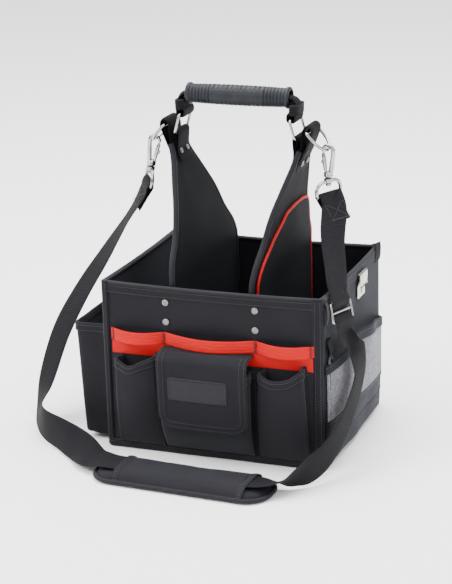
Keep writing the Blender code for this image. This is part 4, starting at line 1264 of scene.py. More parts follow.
def mesh_pocket_point(y, z):
    """A point on the slack pocket's face at a place along the wall and a height."""
    share = (y + MESH_REACH) / (2 * MESH_REACH)
    height = (z - MESH_FOOT) / (read_at(MESH_TOP_EDGE, y) - MESH_FOOT)
    depth = 0.0150 * max(0.0, sin(pi * share)) ** 0.55
    full = 0.30 + 0.70 * sin(pi / 2 * min(1.0, 0.12 + 1.7 * height))
    wave = 0.0030 * sin(2 * pi * (y + 0.10) / 0.095) * height ** 3 * sin(pi * share)
    fold = noise.noise(Vector((y * 22, z * 26, 9.4))) * 0.0022 * sin(pi * share)
    return Vector((0.1408 + max(depth * full + wave + fold, 0.0003), y, z))


def between(low_table, high_table, shares, columns, lift=0.0):
    """Rows of pocket points between two edges that are tables over the wall's length."""
    grid = []
    for share in shares:
        row = []
        for y in columns:
            low = low_table if isinstance(low_table, float) else read_at(low_table, y)
            high = read_at(high_table, y)
            row.append(mesh_pocket_point(y, low + (high - low) * share))
        grid.append(row)
    return backed(grid, -lift) if lift else grid


mesh_columns = steps(-MESH_REACH, MESH_REACH, 0.0032)
foot_shares = [i / 18 for i in range(19)]
foot_outer = between(MESH_FOOT, MESH_LOW_EDGE, foot_shares, mesh_columns)
foot_outer.insert(0, [Vector((0.1404, p.y, p.z - 0.0003)) for p in foot_outer[0]])
pocket_foot = cloth_solid("mesh_pouch_foot", foot_outer, backed(foot_outer, 0.0014), polyester)
hem_shares = [0.0, 0.06, 0.2, 0.4, 0.6, 0.8, 0.94, 1.0]
hem_lifts = [0.0002, 0.0011, 0.0015, 0.0014, 0.0015, 0.0013, 0.0010, 0.0001]
hem_surface = between(MESH_HIGH_EDGE, MESH_TOP_EDGE, hem_shares, mesh_columns)
pocket_hem = cloth_solid("mesh_pouch_hem", *hem_sides(hem_surface, hem_lifts, 0.0012), polyester)
edge_rows = between(MESH_LOW_EDGE, MESH_HIGH_EDGE, [-0.03, 0.0, 0.02, 0.05], mesh_columns,
                    0.0008)
edge_band = cloth_solid("mesh_pouch_edge", edge_rows, backed(edge_rows, 0.0016), bound_tape)
for piece in (pocket_foot, pocket_hem, edge_band):
    sewn(piece)
mesh_lines = []
for share, low, high, lift in ((0.45, MESH_FOOT, MESH_LOW_EDGE, 0.0003),
                               (0.50, MESH_FOOT, MESH_LOW_EDGE, 0.0003),
                               (0.14, MESH_HIGH_EDGE, MESH_TOP_EDGE, 0.0018),
                               (0.80, MESH_HIGH_EDGE, MESH_TOP_EDGE, 0.0018)):
    mesh_lines.append(between(low, high, [share, share + 0.02], mesh_columns, lift)[0])
sew("mesh_pouch_stitching", mesh_lines)


def net_tree():
    """Geometry nodes that knit a sheet of squares into a net of six-sided cells."""
    tree, start, keys = growing_tree("knitted_net", "sheet", strand=NET_STRAND)
    triangles = add_node(tree, "GeometryNodeTriangulate", Mesh=start["sheet"])
    cells = add_node(tree, "GeometryNodeDualMesh", Mesh=triangles.outputs["Mesh"])
    lines = add_node(tree, "GeometryNodeMeshToCurve", Mesh=cells.outputs["Dual Mesh"])
    section = add_node(tree, "GeometryNodeCurvePrimitiveCircle", Resolution=4,
                       Radius=start["strand"])
    strands = add_node(tree, "GeometryNodeCurveToMesh", Curve=lines.outputs["Curve"],
                       Profile_Curve=section.outputs["Curve"])
    finish_tree(tree, strands.outputs["Mesh"], start["finish"])
    return tree, keys


net_columns = steps(-MESH_REACH + 0.001, MESH_REACH - 0.001, NET_CELL)
net_count = int(0.070 / NET_CELL)
net_rows = between(MESH_LOW_EDGE, MESH_HIGH_EDGE, [-0.03 + 1.08 * i / net_count
                                                   for i in range(net_count + 1)], net_columns)
net_sheet = bpy.data.meshes.new("net_sheet")
width = len(net_columns)
net_sheet.from_pydata([p for row in net_rows for p in row], [],
                      [(i * width + j, i * width + j + 1, (i + 1) * width + j + 1,
                        (i + 1) * width + j) for i in range(net_count) for j in range(width - 1)])
net = grown("mesh_pouch_net", net_sheet, net_tree(), net_finish, strand=NET_STRAND)
placed_on(net, "bag_body", "grey_mesh", "mesh_pocket")

# -------------------------------------------------------- fittings on the right and rear
# The right wall carries a bent nickel plate for a tape measure's clip, a moulded nylon link
# on a webbing tab, and a narrow sewn loop at the front corner. A doubled strap that holds
# rolls of tape hangs from the rear wall, and a webbing end shows at the rear corner.
PLATE_LOW = (0.0180, 0.1715)
PLATE_HIGH = (0.0475, 0.2035)
RIBBON_COLUMNS = 12

black_webbing = webbing_finish("black_webbing", (0.0028, 0.0028, 0.0036),
                               (0.0125, 0.0122, 0.0152), 0.0022, gloss=0.08)
nylon = grained_finish("moulded_nylon", (0.010, 0.010, 0.012), 0.32, 220.0, haze=(0.2, 0.22),
                       bump=(0.2, 0.0001))


def ribbon(name, centres, acrosses, halves, thickness, material, curls=None):
    """Webbing through centres: the direction across it, its half width and its cross curl at
    each. The section is a flat oval, and the UV map runs across and along in metres."""
    rings = []
    last = len(centres) - 1
    stations = zip(centres, for_each(acrosses, centres), for_each(halves, centres))
    for i, (centre, across, half) in enumerate(stations):
        along = (centres[min(i + 1, last)] - centres[max(i - 1, 0)]).normalized()
        across = (across - along * across.dot(along)).normalized()
        out = along.cross(across)
        curl = curls[i] if curls else 0.0
        upper, lower = [], []
        for k in range(RIBBON_COLUMNS + 1):
            share = 2 * k / RIBBON_COLUMNS - 1
            edge = sqrt(max(0.0, 1 - abs(share) ** 8))
            bow = curl * (1 - share * share)
            place = centre + across * half * share * (1 - 0.35 * abs(curl) / max(half, 0.001))
            upper.append(place + out * (bow + thickness / 2 * max(edge, 0.25)))
            lower.append(place + out * (bow - thickness / 2 * max(edge, 0.25)))
        rings.append([*upper, *lower[::-1]])
    return tube(name, rings, material)


def flowing(points, spans):
    """A smooth chain through the points, with the same number of spans between each two."""
    points = [Vector(p) for p in points]
    chain = [2 * points[0] - points[1], *points, 2 * points[-1] - points[-2]]
    result = []
    for before, start, end, after in zip(chain, chain[1:], chain[2:], chain[3:]):
        for i in range(spans):
            t = i / spans
            result.append(0.5 * (2 * start + (end - before) * t
                                 + (2 * before - 5 * start + 4 * end - after) * t ** 2
                                 + (3 * start - before - 3 * end + after) * t ** 3))
    return [*result, points[-1]]


plate_profile = flowing([(0.1409, 0, PLATE_LOW[1]), (0.1409, 0, 0.1860), (0.1409, 0, 0.1975),
                         (0.1420, 0, 0.2030), (0.1440, 0, 0.2020), (0.1446, 0, 0.1960),
                         (0.1440, 0, 0.1880), (0.1450, 0, 0.1850)], 5)
plate_middle = Vector((0, (PLATE_LOW[0] + PLATE_HIGH[0]) / 2, 0))
plate = ribbon("tape_clip_bracket", [p + plate_middle for p in plate_profile], Y_WAY,
               (PLATE_HIGH[0] - PLATE_LOW[0]) / 2, 0.0011, nickel)
placed_on(plate, "bag_body", "nickel", "tape_clip_plate")
set_rivets("tape_clip_rivet", [(Vector((0.1412, plate_middle.y, 0.1775)), X_WAY)], [], 0.0026)

tab_points = flowing([(0.1410, -0.101, 0.1600), (0.1412, -0.101, 0.1500), (0.1424, -0.101, 0.1440),
                      (0.1446, -0.101, 0.1434), (0.1452, -0.101, 0.1470), (0.1434, -0.101, 0.1530),
                      (0.1418, -0.101, 0.1590)], 5)
key_tab = ribbon("key_tab", tab_points, Y_WAY, 0.0070, 0.0012, black_webbing)
placed_on(key_tab, "bag_body", "black_webbing", "key_clip_tab")


def stadium(middle, half_height, radius, count):
    """A long rounded loop in the Y-Z plane, as a chain of points round its centre line."""
    points = []
    for centre, start in ((half_height, 0.0), (-half_height, pi)):
        for i in range(count + 1):
            turn = start + pi * i / count
            points.append(middle + Vector((0, radius * cos(turn), centre + radius * sin(turn))))
    return points


link_points = stadium(Vector((0.1432, -0.1010, 0.1183)), 0.0175, 0.0046, 12)
link = oval_tube_along("key_link", link_points, X_WAY, 0.0026, 0.0040, nylon, closed=True)
placed_on(link, "key_clip", "black_plastic", "key_clip")
link_latch = oval_tube_along("key_link_latch", [Vector((0.1432, -0.1056, 0.1245 - 0.002 * i))
                                                for i in range(7)], X_WAY, 0.0034, 0.0046,
                             nylon, taper=1.4)
placed_on(link_latch, "key_clip", "black_plastic")

corner_points = flowing([(0.1406, -0.1095, 0.2070), (0.1424, -0.1095, 0.2050),
                         (0.1438, -0.1095, 0.1980), (0.1438, -0.1095, 0.1890),
                         (0.1424, -0.1095, 0.1820), (0.1406, -0.1095, 0.1800)], 6)
corner_loop = ribbon("corner_loop", corner_points, Y_WAY, 0.0042, 0.0013, bound_tape)
placed_on(corner_loop, "bag_body", "black_webbing")
end_points = flowing([(0.1402, 0.1040, 0.1960), (0.1412, 0.1040, 0.2040), (0.1412, 0.1050, 0.2110),
                      (0.1400, 0.1060, 0.2185)], 5)
webbing_end = ribbon("rear_corner_tab", end_points, Vector((0.05, 1, 0)), 0.0110, 0.0022,
                     black_webbing)
placed_on(webbing_end, "bag_body", "black_webbing")

strap_profile = [Vector((0.1160, 0.1178 + 0.0019 + 0.0009 * sin(i * 0.55), 0.1890 - 0.0045 * i))
                 for i in range(24)]
tape_strap = ribbon("tape_roll_strap", strap_profile, X_WAY, 0.0100, 0.0030, black_webbing)
placed_on(tape_strap, "tape_strap", "black_webbing", "tape_strap")
strap_anchor = ribbon("tape_strap_anchor", [Vector((0.1160, 0.1176, 0.2010 - 0.0017 * i))
                                            for i in range(8)], X_WAY, 0.0110, 0.0020,
                      black_webbing)
placed_on(strap_anchor, "bag_body", "black_webbing")
set_rivets("tape_strap_snap", [(Vector((0.1160, 0.1212, 0.0930)), Vector((0, 1, 0)))], [],
           0.0050, nickel, "tape_strap")

# ----------------------------------------------------------------- ring tabs and dee loops
# A soft tab riveted inside each divider's neck folds over the lower bar of the handle's ring.
# The neck's own padded end folds outwards over the dee's bar and is sewn down on itself.
RING_LOW = (0.0765, 0.374)
RING_HIGH = (0.0700, 0.398)
DEE_BAR = (0.0905, 0.384)
DEE_LOW = (0.1110, 0.361)


def on_side(mirror, place):
    """An (outwards, up) place on the bag's middle plane, on the left or the right."""
    return Vector((mirror * place[0], 0, place[1]))


neck_seams = []
for side_name, mirror in SIDES:
    low, out = panel_frame(mirror, 0.3385)
    mid, mid_out = panel_frame(mirror, 0.352)
    bar = on_side(mirror, RING_LOW)
    upwards = Vector((out.z * -mirror, 0, abs(out.x))).normalized()
    around_bar = [bar + mid_out * a + upwards * b for a, b in
                  ((-0.0036, -0.0020), (-0.0030, 0.0026), (0.0, 0.0042), (0.0030, 0.0022),
                   (0.0016, -0.0030))]
    tab_line = flowing([low - out * 0.0052, mid - mid_out * 0.0054, *around_bar,
                        mid - mid_out * 0.0036], 5)
    halves = [0.0192 - 0.0012 * eased(0, 10, i) for i in range(len(tab_line))]
    tab = ribbon(side_name + "_ring_tab_cloth", tab_line, Y_WAY, halves, 0.0017, smooth_cloth)
    placed_on(tab, "bag_body", "black_webbing", side_name + "_ring_tab")
    foot, foot_out = panel_frame(mirror, 0.3560)
    turn = on_side(mirror, DEE_BAR)
    rise = Vector((mirror * 0.30, 0, 0.95)).normalized()
    side = Vector((rise.z * mirror, 0, -rise.x * mirror))
    over_bar = [turn + side * a + rise * b for a, b in
                ((-0.0052, -0.0030), (-0.0040, 0.0042), (0.0, 0.0068), (0.0044, 0.0038),
                 (0.0056, -0.0040))]
    folded_end = [foot + foot_out * a + rise * b for a, b in
                  ((0.0054, 0.0060), (0.0034, -0.0060), (0.0006, -0.0260))]
    neck_line = flowing([foot + foot_out * 0.0002, foot + rise * 0.012 - side * 0.0004,
                         *over_bar, *folded_end], 6)
    halves = [0.0205 - 0.0022 * sin(pi * i / len(neck_line)) for i in range(len(neck_line))]
    neck = ribbon(side_name + "_dee_loop_cloth", neck_line, Y_WAY, halves, 0.0030, smooth_cloth)
    placed_on(neck, "bag_body", "black_webbing", side_name + "_dee_loop")
    for z in (0.3600, 0.3625):
        middle, facing = panel_frame(mirror, z)
        neck_seams.append([middle + facing * 0.0066 + Vector((0, y, 0))
                           for y in steps(-0.016, 0.016, 0.004)])
sew("neck_stitching", neck_seams)

# -------------------------------------------------------------------- rings, dees and wire
# Welded nickel wire: rectangular rings link the tabs to the handle, and dee rings hang
# outwards from the necks for the shoulder strap's hooks.
RING_HALF = 0.0205
RING_WIRE = 0.00165
DEE_HALF = 0.0210
DEE_WIRE = 0.00185
WIRE_SIDES = 14


def wire(points, radius, closed=True):
    """Rings of points for round wire along a chain; the radius may be a list along it."""
    turns = [2 * pi * k / WIRE_SIDES for k in range(WIRE_SIDES)]
    rings = []
    last = len(points) - 1
    normal = None
    for i, point in enumerate(points):
        if closed:
            along = (points[(i + 1) % (last + 1)] - points[i - 1]).normalized()
        else:
            along = (points[min(i + 1, last)] - points[max(i - 1, 0)]).normalized()
        if normal is None:
            normal = along.orthogonal()
        normal = (normal - along * normal.dot(along)).normalized()
        other = along.cross(normal)
        size = radius[i] if isinstance(radius, list) else radius
        rings.append([point + (normal * cos(turn) + other * sin(turn)) * size
                      for turn in turns])
    return rings


def wire_piece(name, points, radius, material, closed=True):
    return tube(name, wire(points, radius, closed), material, closed)


def rounded_loop(half, height, corner):
    """A rectangle with round corners in (across, up) pairs, from its low side."""
    points = []
    for u, v, start in ((1, 0, -90), (1, 1, 0), (-1, 1, 90), (-1, 0, 180)):
        for i in range(8):
            turn = radians(start + 90 * i / 7)
            points.append((u * (half - corner) + corner * cos(turn),
                           corner + v * (height - 2 * corner) + corner * sin(turn)))
    return points


for side_name, mirror in SIDES:
    low = on_side(mirror, RING_LOW)
    high = on_side(mirror, RING_HIGH)
    up = (high - low).normalized()
    loop = [low + Vector((0, u, 0)) + up * v
            for u, v in rounded_loop(RING_HALF, (high - low).length, 0.0046)]
    ring = wire_piece(side_name + "_handle_ring", loop, RING_WIRE, nickel)
    placed_on(ring, side_name + "_ring", "nickel", side_name + "_ring")
    bar = on_side(mirror, DEE_BAR)
    down = on_side(mirror, DEE_LOW) - bar
    depth = down.length
    down.normalize()
    corners = [(DEE_HALF - 0.0030 + 0.0030 * sin(radians(a)), 0.0030 - 0.0030 * cos(radians(a)))
               for a in range(0, 90, 18)]
    bow = [(DEE_HALF * cos(pi * i / 30), depth - DEE_HALF + DEE_HALF * sin(pi * i / 30))
           for i in range(31)]
    outline = [*corners, (DEE_HALF, 0.0045), *[p for p in bow if p[1] > 0.0060],
               (-DEE_HALF, 0.0045), *[(-u, v) for u, v in corners[::-1]]]
    loop = [bar + Vector((0, u, 0)) + down * v for u, v in outline]
    dee = wire_piece(side_name + "_dee_ring", loop, DEE_WIRE, nickel)
    placed_on(dee, side_name + "_dee", "nickel", side_name + "_dee")

# --------------------------------------------------------------------------- handle, grip
# Webbing loops through each ring, is sewn back on itself, gathers and runs through the bore
# of a moulded rubber grip. The grip is barrel-shaped, with flanged ends, turned grooves near
# each end, and notched edges along its pebbled finger panels.
GRIP_Z = 0.4210
GRIP_HALF = 0.0655
GRIP_BORE = 0.0094
GRIP_FLANGE = 0.0040
GRIP_GROOVES = (0.0350, 0.0392, 0.0434, 0.0476, 0.0518, 0.0560)
GRIP_GROOVE_DEPTH = 0.0011
GRIP_PANEL = 0.0325
GRIP_NOTCH_PITCH = 0.0058
GRIP_SIDES = 72

rubber = grained_finish("grip_rubber", (0.010, 0.0112, 0.015), 0.5, 70.0, 4.0,
                        stops=((0.0075, 0.0084, 0.0112), (0.0140, 0.0155, 0.0200)),
                        haze=(0.22, 0.40), gloss=0.22)
rubber_tree = rubber.node_tree
pebbles = add_node(rubber_tree, "ShaderNodeTexVoronoi", Scale=950.0,
                   Vector=rubber_tree.nodes.new("ShaderNodeTexCoord").outputs["Object"])
relief(rubber_tree, rubber_tree.nodes["Principled BSDF"], pebbles.outputs["Distance"], 0.35,
       0.0003)


def grip_radius(x, turn):
    """The grip's radius at a place along it and an angle round it."""
    far = abs(x)
    body = 0.0126 - 0.0013 * (far / GRIP_HALF) ** 2
    groove = sum(max(0.0, 1 - ((far - at) / 0.00105) ** 2) for at in GRIP_GROOVES)
    body -= GRIP_GROOVE_DEPTH * min(1.0, groove)
    flange = GRIP_HALF - GRIP_FLANGE
    if far > flange - 0.002:
        body = 0.0112 + 0.0019 * eased(flange - 0.002, flange, far)
    body -= 0.0014 * eased(GRIP_HALF - 0.0012, GRIP_HALF, far)
    if far < GRIP_PANEL:
        height = abs(sin(turn))
        slot = cos(2 * pi * x / GRIP_NOTCH_PITCH)
        body -= 0.0010 * eased(0.56, 0.64, height) * eased(0.30, 0.75, slot)
        body -= 0.0004 * (1 - eased(0.48, 0.54, height)) * eased(0.0, 0.003, GRIP_PANEL - far)
    return body


def grip_ring(x, radii):
    """Points round the grip's middle line, one for each radius."""
    return [Vector((x, radius * cos(turn), GRIP_Z + radius * sin(turn)))
            for radius, turn in zip(radii, grip_turns)]


grip_rows = steps(-GRIP_HALF, GRIP_HALF, 0.0006)
grip_turns = [2 * pi * k / GRIP_SIDES for k in range(GRIP_SIDES)]
grip_outer = [grip_ring(x, [grip_radius(x, turn) for turn in grip_turns]) for x in grip_rows]
grip_inner = [grip_ring(x, [GRIP_BORE] * GRIP_SIDES) for x in grip_rows]
grip = cloth_solid("handle_grip", grip_outer, grip_inner, rubber, closed=True)
placed_on(grip, "grip", "grip_rubber", "grip")

for side_name, mirror in SIDES:
    bar = on_side(mirror, RING_HIGH)
    out_of_bore = [on_side(mirror, (x, GRIP_Z - drop)) for x, drop in
                   ((0.040, 0.0), (0.060, 0.0), (0.0700, 0.0010), (0.0748, 0.0064),
                    (0.0756, 0.0130))]
    round_bar = [bar + on_side(mirror, place) for place in
                 ((0.0052, 0.0040), (0.0040, -0.0028), (0.0, -0.0040), (-0.0042, -0.0022),
                  (-0.0046, 0.0050), (0.0008, 0.0110))]
    back_inside = [on_side(mirror, (x, GRIP_Z - drop)) for x, drop in
                   ((0.0712, 0.0080), (0.0640, 0.0034), (0.050, 0.0030))]
    line = flowing([*out_of_bore, *round_bar, *back_inside], 6)
    halves, curls = [], []
    for p in line:
        near = eased(0.0, 0.020, GRIP_Z - p.z)
        halves.append(0.0078 + 0.0090 * near)
        curls.append(0.0026 * (1 - near) * mirror)
    webbing = ribbon(side_name + "_handle_webbing", line, Y_WAY, halves, 0.0021, black_webbing,
                     curls)
    placed_on(webbing, "handle", "black_webbing")
    if mirror < 0:
        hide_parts("handle_webbing")
    collar_line = flowing([bar + on_side(mirror, place) for place in
                           ((0.0066, 0.0050), (0.0068, 0.0100), (0.0070, 0.0165))], 4)
    section = [(-mirror * 0.0045 + 0.0062 * cos(turn),
                copysign(0.0180 * abs(sin(turn)) ** 0.5, sin(turn)))
               for turn in [2 * pi * k / 20 for k in range(20)]]
    collar = tube(side_name + "_handle_collar",
                  [[point + Vector((dx, dy, 0)) for dx, dy in section] for point in collar_line],
                  black_webbing)
    placed_on(collar, "handle", "black_webbing")

# ------------------------------------------------------------------ swivel hooks and bails
# Cast snap hooks hang on the dees: an eye on a tapered spine, a sprung gate, a barrel with a
# swivel stem, and a D-shaped bail that turns on the stem and takes the webbing.
HOOK_EYE = 0.0062
HOOK_EYE_Z = -0.0014
BAIL_BAR_Z = -0.0555
BAIL_HALF = 0.0215
BAIL_WIRE = 0.0022
HOOKS = {"left": (-1, radians(11.0), radians(-58.0)), "right": (1, 0.0, radians(66.0))}


def hook_place(side_name):
    """Where a hook hangs on its dee, and how far it leans."""
    mirror, tilt, _ = HOOKS[side_name]
    return Matrix.Translation(on_side(mirror, DEE_LOW)) @ Matrix.Rotation(tilt, 4, "Y")


def turned(name, place, profile, material, sides=28):
    """A solid of revolution on a placed Z axis, through (radius, height) pairs."""
    turns = [2 * pi * k / sides for k in range(sides)]
    rings = [[place @ Vector((radius * cos(turn), radius * sin(turn), z)) for turn in turns]
             for radius, z in profile]
    return tube(name, rings, material)


BARREL = ((0.0012, -0.0268), (0.0046, -0.0270), (0.0055, -0.0278), (0.0057, -0.0290),
          (0.0050, -0.0300), (0.0057, -0.0311), (0.0055, -0.0324), (0.0044, -0.0332),
          (0.0020, -0.0335), (0.0019, -0.0345), (0.0019, -0.0412), (0.0034, -0.0416),
          (0.0036, -0.0428), (0.0030, -0.0440), (0.0012, -0.0445))
BOSS = ((0.0024, -0.0343), (0.0042, -0.0345), (0.0053, -0.0352), (0.0055, -0.0374),
        (0.0053, -0.0396), (0.0042, -0.0404), (0.0024, -0.0406))

for side_name, (mirror, tilt, bail_turn) in HOOKS.items():
    place = hook_place(side_name)
    body_name = side_name + "_hook"
    spine = [(-0.0030, -0.0285), (-0.0036, -0.0250), (-0.0043, -0.0190), (-0.0052, -0.0130),
             (-0.0060, -0.0070)]
    eye = [(HOOK_EYE * cos(radians(a)), HOOK_EYE_Z + HOOK_EYE * sin(radians(a)))
           for a in range(178, -20, -9)]
    chain = flowing([place @ Vector((-mirror * u, 0, v)) for u, v in (*spine, *eye)], 2)
    count = len(chain) - 1
    sizes = [0.0029 - 0.0008 * eased(0, 0.5, i / count) - 0.0006 * eased(0.93, 1.0, i / count)
             for i in range(count + 1)]
    eye_piece = tube(side_name + "_hook_eye", wire(chain, sizes, False), nickel)
    placed_on(eye_piece, body_name, "nickel", body_name)
    placed_on(turned(side_name + "_hook_barrel", place, BARREL, nickel), body_name, "nickel")
    gate_line = [Vector((-mirror * u, 0, v)) for u, v in
                 ((0.0034, -0.0262), (0.0039, -0.0215), (0.0046, -0.0150), (0.0054, -0.0092),
                  (0.0061, -0.0040))]
    gate_chain = flowing([place @ p for p in gate_line], 5)
    count = len(gate_chain) - 1
    gate_sizes = [0.0018 + 0.0006 * eased(0.0, 0.3, i / count) * (1 - eased(0.75, 1.0, i / count))
                  for i in range(count + 1)]
    gate_piece = tube(side_name + "_hook_gate", wire(gate_chain, gate_sizes, False), nickel)
    placed_on(gate_piece, side_name + "_gate", "nickel", side_name + "_gate")
    stud_at = gate_line[2]
    stud = turned(side_name + "_gate_stud",
                  place @ Matrix.Translation(stud_at + Vector((-mirror * 0.0016, 0, 0)))
                  @ Matrix.Rotation(-mirror * pi / 2, 4, "Y"),
                  ((0.0008, -0.0010), (0.0017, 0.0), (0.0021, 0.0012), (0.0020, 0.0020),
                   (0.0010, 0.0026)), nickel, 16)
    placed_on(stud, side_name + "_gate", "nickel")
    spun = place @ Matrix.Rotation(bail_turn, 4, "Z")
    rise = -0.0374 - BAIL_BAR_Z
    arch = [(BAIL_HALF * cos(pi * i / 40), BAIL_BAR_Z + rise * sqrt(sin(pi * i / 40)))
            for i in range(41)]
    outline = [(BAIL_HALF - 0.0010, BAIL_BAR_Z - 0.0002), *arch[1:-1],
               (0.0010 - BAIL_HALF, BAIL_BAR_Z - 0.0002),
               *[(BAIL_HALF * (k / 8), BAIL_BAR_Z - 0.0004) for k in range(-7, 8)]]
    bail = wire_piece(side_name + "_strap_bail", [spun @ Vector((u, 0, v)) for u, v in outline],
                      BAIL_WIRE, nickel)
    placed_on(bail, "bag_body", "nickel", side_name + "_bail")
    placed_on(turned(side_name + "_bail_boss", spun, BOSS, nickel), "bag_body", "nickel")

# ------------------------------------------------------------------------- shoulder strap
# One length of 38 mm ribbed webbing, folded round each bail and sewn with a crossed box,
# runs down to the shoulder pad on the floor. A flat three-bar slider sets its length.
STRAP_HALF = 0.0190
STRAP_THICKNESS = 0.0018
STRAP_SPANS = 7
STRAP_CURL = 0.9
STRAP_STITCH_PITCH = 0.0030
FOLD_SEAM = (0.010, 0.032)
SLIDER = Vector((0.1515, -0.0825, 0.1900))
SLIDER_ALONG = Vector((-0.22, 0.12, 0.968)).normalized()
SLIDER_ACROSS = Vector((0.25, 0.90, -0.20))
SLIDER_ACROSS = (SLIDER_ACROSS - SLIDER_ALONG * SLIDER_ACROSS.dot(SLIDER_ALONG)).normalized()
SLIDER_FACE = SLIDER_ACROSS.cross(SLIDER_ALONG)
SLIDER_HALF = 0.0232
SLIDER_REACH = 0.0106
SLIDER_WIRE = 0.00165
SLIDER_BAR = 0.0015


def bail_bar(side_name):
    """The middle of a bail's bar and the direction along it."""
    place = hook_place(side_name) @ Matrix.Rotation(HOOKS[side_name][2], 4, "Z")
    return place @ Vector((0, 0, BAIL_BAR_Z)), (place.to_3x3() @ Vector((1, 0, 0))).normalized()


def folded_start(side_name, towards):
    """Stations of webbing that comes up behind a bail's bar, turns over it and leaves, and
    the bar's middle with the directions along, out of and across the webbing there."""
    bar, across = bail_bar(side_name)
    along = towards - bar
    along = (along - across * along.dot(across)).normalized()
    out = along.cross(across)
    if out.y > 0:
        across, out = -across, -out
    return [(bar + along * a + out * b, across, STRAP_HALF) for a, b in
            ((0.034, -0.0021), (0.020, -0.0024), (0.0070, -0.0031), (0.0010, -0.0034),
             (-0.0030, -0.0014), (-0.0030, 0.0014), (0.0010, 0.0033), (0.0070, 0.0028),
             (0.0150, 0.0010))], (bar, along, out, across)


def at_slider(along, off, *half_width):
    """A station of webbing by the slider: a length along it and a height off its middle."""
    return (SLIDER + along * SLIDER_ALONG + off * SLIDER_FACE, SLIDER_ACROSS, *half_width)


def strap_run(name, stations, node):
    """Webbing through (centre, direction across, half width) stations, for a CAD node. The
    half width is the strap's own where none is given, and a narrower strap is curled."""
    centres = flowing([s[0] for s in stations], STRAP_SPANS)
    sides = [Vector(stations[0][1])]
    for station in stations[1:]:
        side = Vector(station[1])
        sides.append(-side if side.dot(sides[-1]) < 0 else side)
    acrosses = flowing(sides, STRAP_SPANS)
    halves = [v.x for v in flowing([(s[2] if len(s) > 2 else STRAP_HALF, 0, 0)
                                    for s in stations], STRAP_SPANS)]
    curls = [STRAP_CURL * max(0.0, STRAP_HALF - half) for half in halves]
    piece = ribbon(name, centres, acrosses, halves, STRAP_THICKNESS, black_webbing, curls)
    placed_on(piece, "bag_body", "black_webbing", node)


def crossed_box(bar, along, out, across):
    """The seam that holds a fold: a box of stitches with a cross in it."""
    half = STRAP_HALF - 0.0035
    start, end = FOLD_SEAM
    corners = [bar + along * a + across * b + out * 0.0022
               for a, b in ((start, -half), (start, half), (end, half), (end, -half))]

    def line(one, other):
        return [one.lerp(other, i / 8) for i in range(9)]

    box = [line(corners[i], corners[(i + 1) % 4]) for i in range(4)]
    return [*box, line(corners[0], corners[2]), line(corners[1], corners[3])]


left_fold, left_place = folded_start("left", Vector((-0.148, -0.005, 0.263)))
strap_run("strap_left_run", [
    *left_fold,
    ((-0.1480, -0.0060, 0.2630), (-0.50, 0.82, -0.12)),
    ((-0.1810, -0.0120, 0.2110), (-0.60, 0.74, 0.10)),
    ((-0.2090, -0.0220, 0.1660), (-0.68, 0.66, 0.20)),
    ((-0.2350, -0.0350, 0.1140), (-0.76, 0.58, 0.22)),
    ((-0.2480, -0.0540, 0.0620), (-0.80, 0.52, -0.10)),
    ((-0.2500, -0.0720, 0.0320), (-0.60, 0.36, -0.68)),
    ((-0.2420, -0.0960, 0.0225), (-0.30, 0.10, -0.95)),
    ((-0.2220, -0.1240, 0.0212), (0.00, -0.15, -0.98)),
    ((-0.1860, -0.1480, 0.0200), (0.10, -0.42, -0.90)),
    ((-0.1550, -0.1660, 0.0160), (0.16, -0.76, -0.62)),
    ((-0.1300, -0.1840, 0.0118), (0.16, -0.96, -0.18)),
    ((-0.1080, -0.1920, 0.0138), (0.08, -1.00, -0.02)),
    ((-0.0800, -0.1950, 0.0142), (0.045, -1.00, 0.00))], "strap_left")

strap_run("strap_right_run", [
    ((0.0700, -0.2010, 0.0142), (0.045, 1.00, 0.00)),
    ((0.0960, -0.1990, 0.0138), (0.030, 0.98, -0.16)),
    ((0.1150, -0.1935, 0.0140), (0.000, 0.88, -0.46), 0.0170),
    ((0.1265, -0.1840, 0.0180), (0.000, 0.66, -0.75), 0.0175),
    ((0.1380, -0.1690, 0.0226), (0.020, 0.30, -0.95)),
    ((0.1490, -0.1450, 0.0300), (0.050, 0.35, -0.93)),
    ((0.1585, -0.1150, 0.0480), (0.050, 0.62, -0.78)),
    ((0.1650, -0.0860, 0.0760), (0.050, 0.80, -0.55)),
    ((0.1685, -0.0660, 0.1080), (0.050, 0.97, -0.15)),
    ((0.1680, -0.0700, 0.1350), (0.250, 0.93, 0.10), 0.0165),
    ((0.1650, -0.0790, 0.1500), (0.600, 0.70, 0.10), 0.0115),
    at_slider(-0.0280, 0.0, 0.0165), at_slider(-0.0180, 0.0012), at_slider(-0.0108, 0.0028),
    at_slider(-0.0055, -0.0006), at_slider(-0.0010, -0.0028)], "strap_right")

right_fold, right_place = folded_start("right", Vector((0.127, -0.036, 0.264)))
strap_run("strap_upper_run", [
    at_slider(0.0010, -0.0030), at_slider(0.0055, -0.0006), at_slider(0.0108, 0.0028),
    at_slider(0.0180, 0.0012), at_slider(0.0280, 0.0),
    ((0.1395, -0.0650, 0.2330), (0.30, 0.93, -0.12)),
    ((0.1270, -0.0360, 0.2640), (0.36, 0.93, -0.03)),
    *right_fold[::-1]], "strap_upper_loop")
strap_seams = crossed_box(*left_place) + crossed_box(*right_place)
sew("strap_stitching", strap_seams, pitch=STRAP_STITCH_PITCH)

slider_loop = [SLIDER + SLIDER_ACROSS * u + SLIDER_ALONG * (v - SLIDER_REACH) for u, v in
               rounded_loop(SLIDER_HALF - 0.0015, 2 * SLIDER_REACH, 0.0022)]
slider_frame = wire_piece("slider_frame", slider_loop, SLIDER_WIRE, nickel)
placed_on(slider_frame, "bag_body", "nickel", "strap_slider")
centre_bar = wire_piece("slider_bar", [SLIDER + SLIDER_ACROSS * (SLIDER_HALF - 0.0010) * (k / 6)
                                       for k in range(-6, 7)], SLIDER_BAR, nickel,
                        closed=False)
placed_on(centre_bar, "bag_body", "nickel")

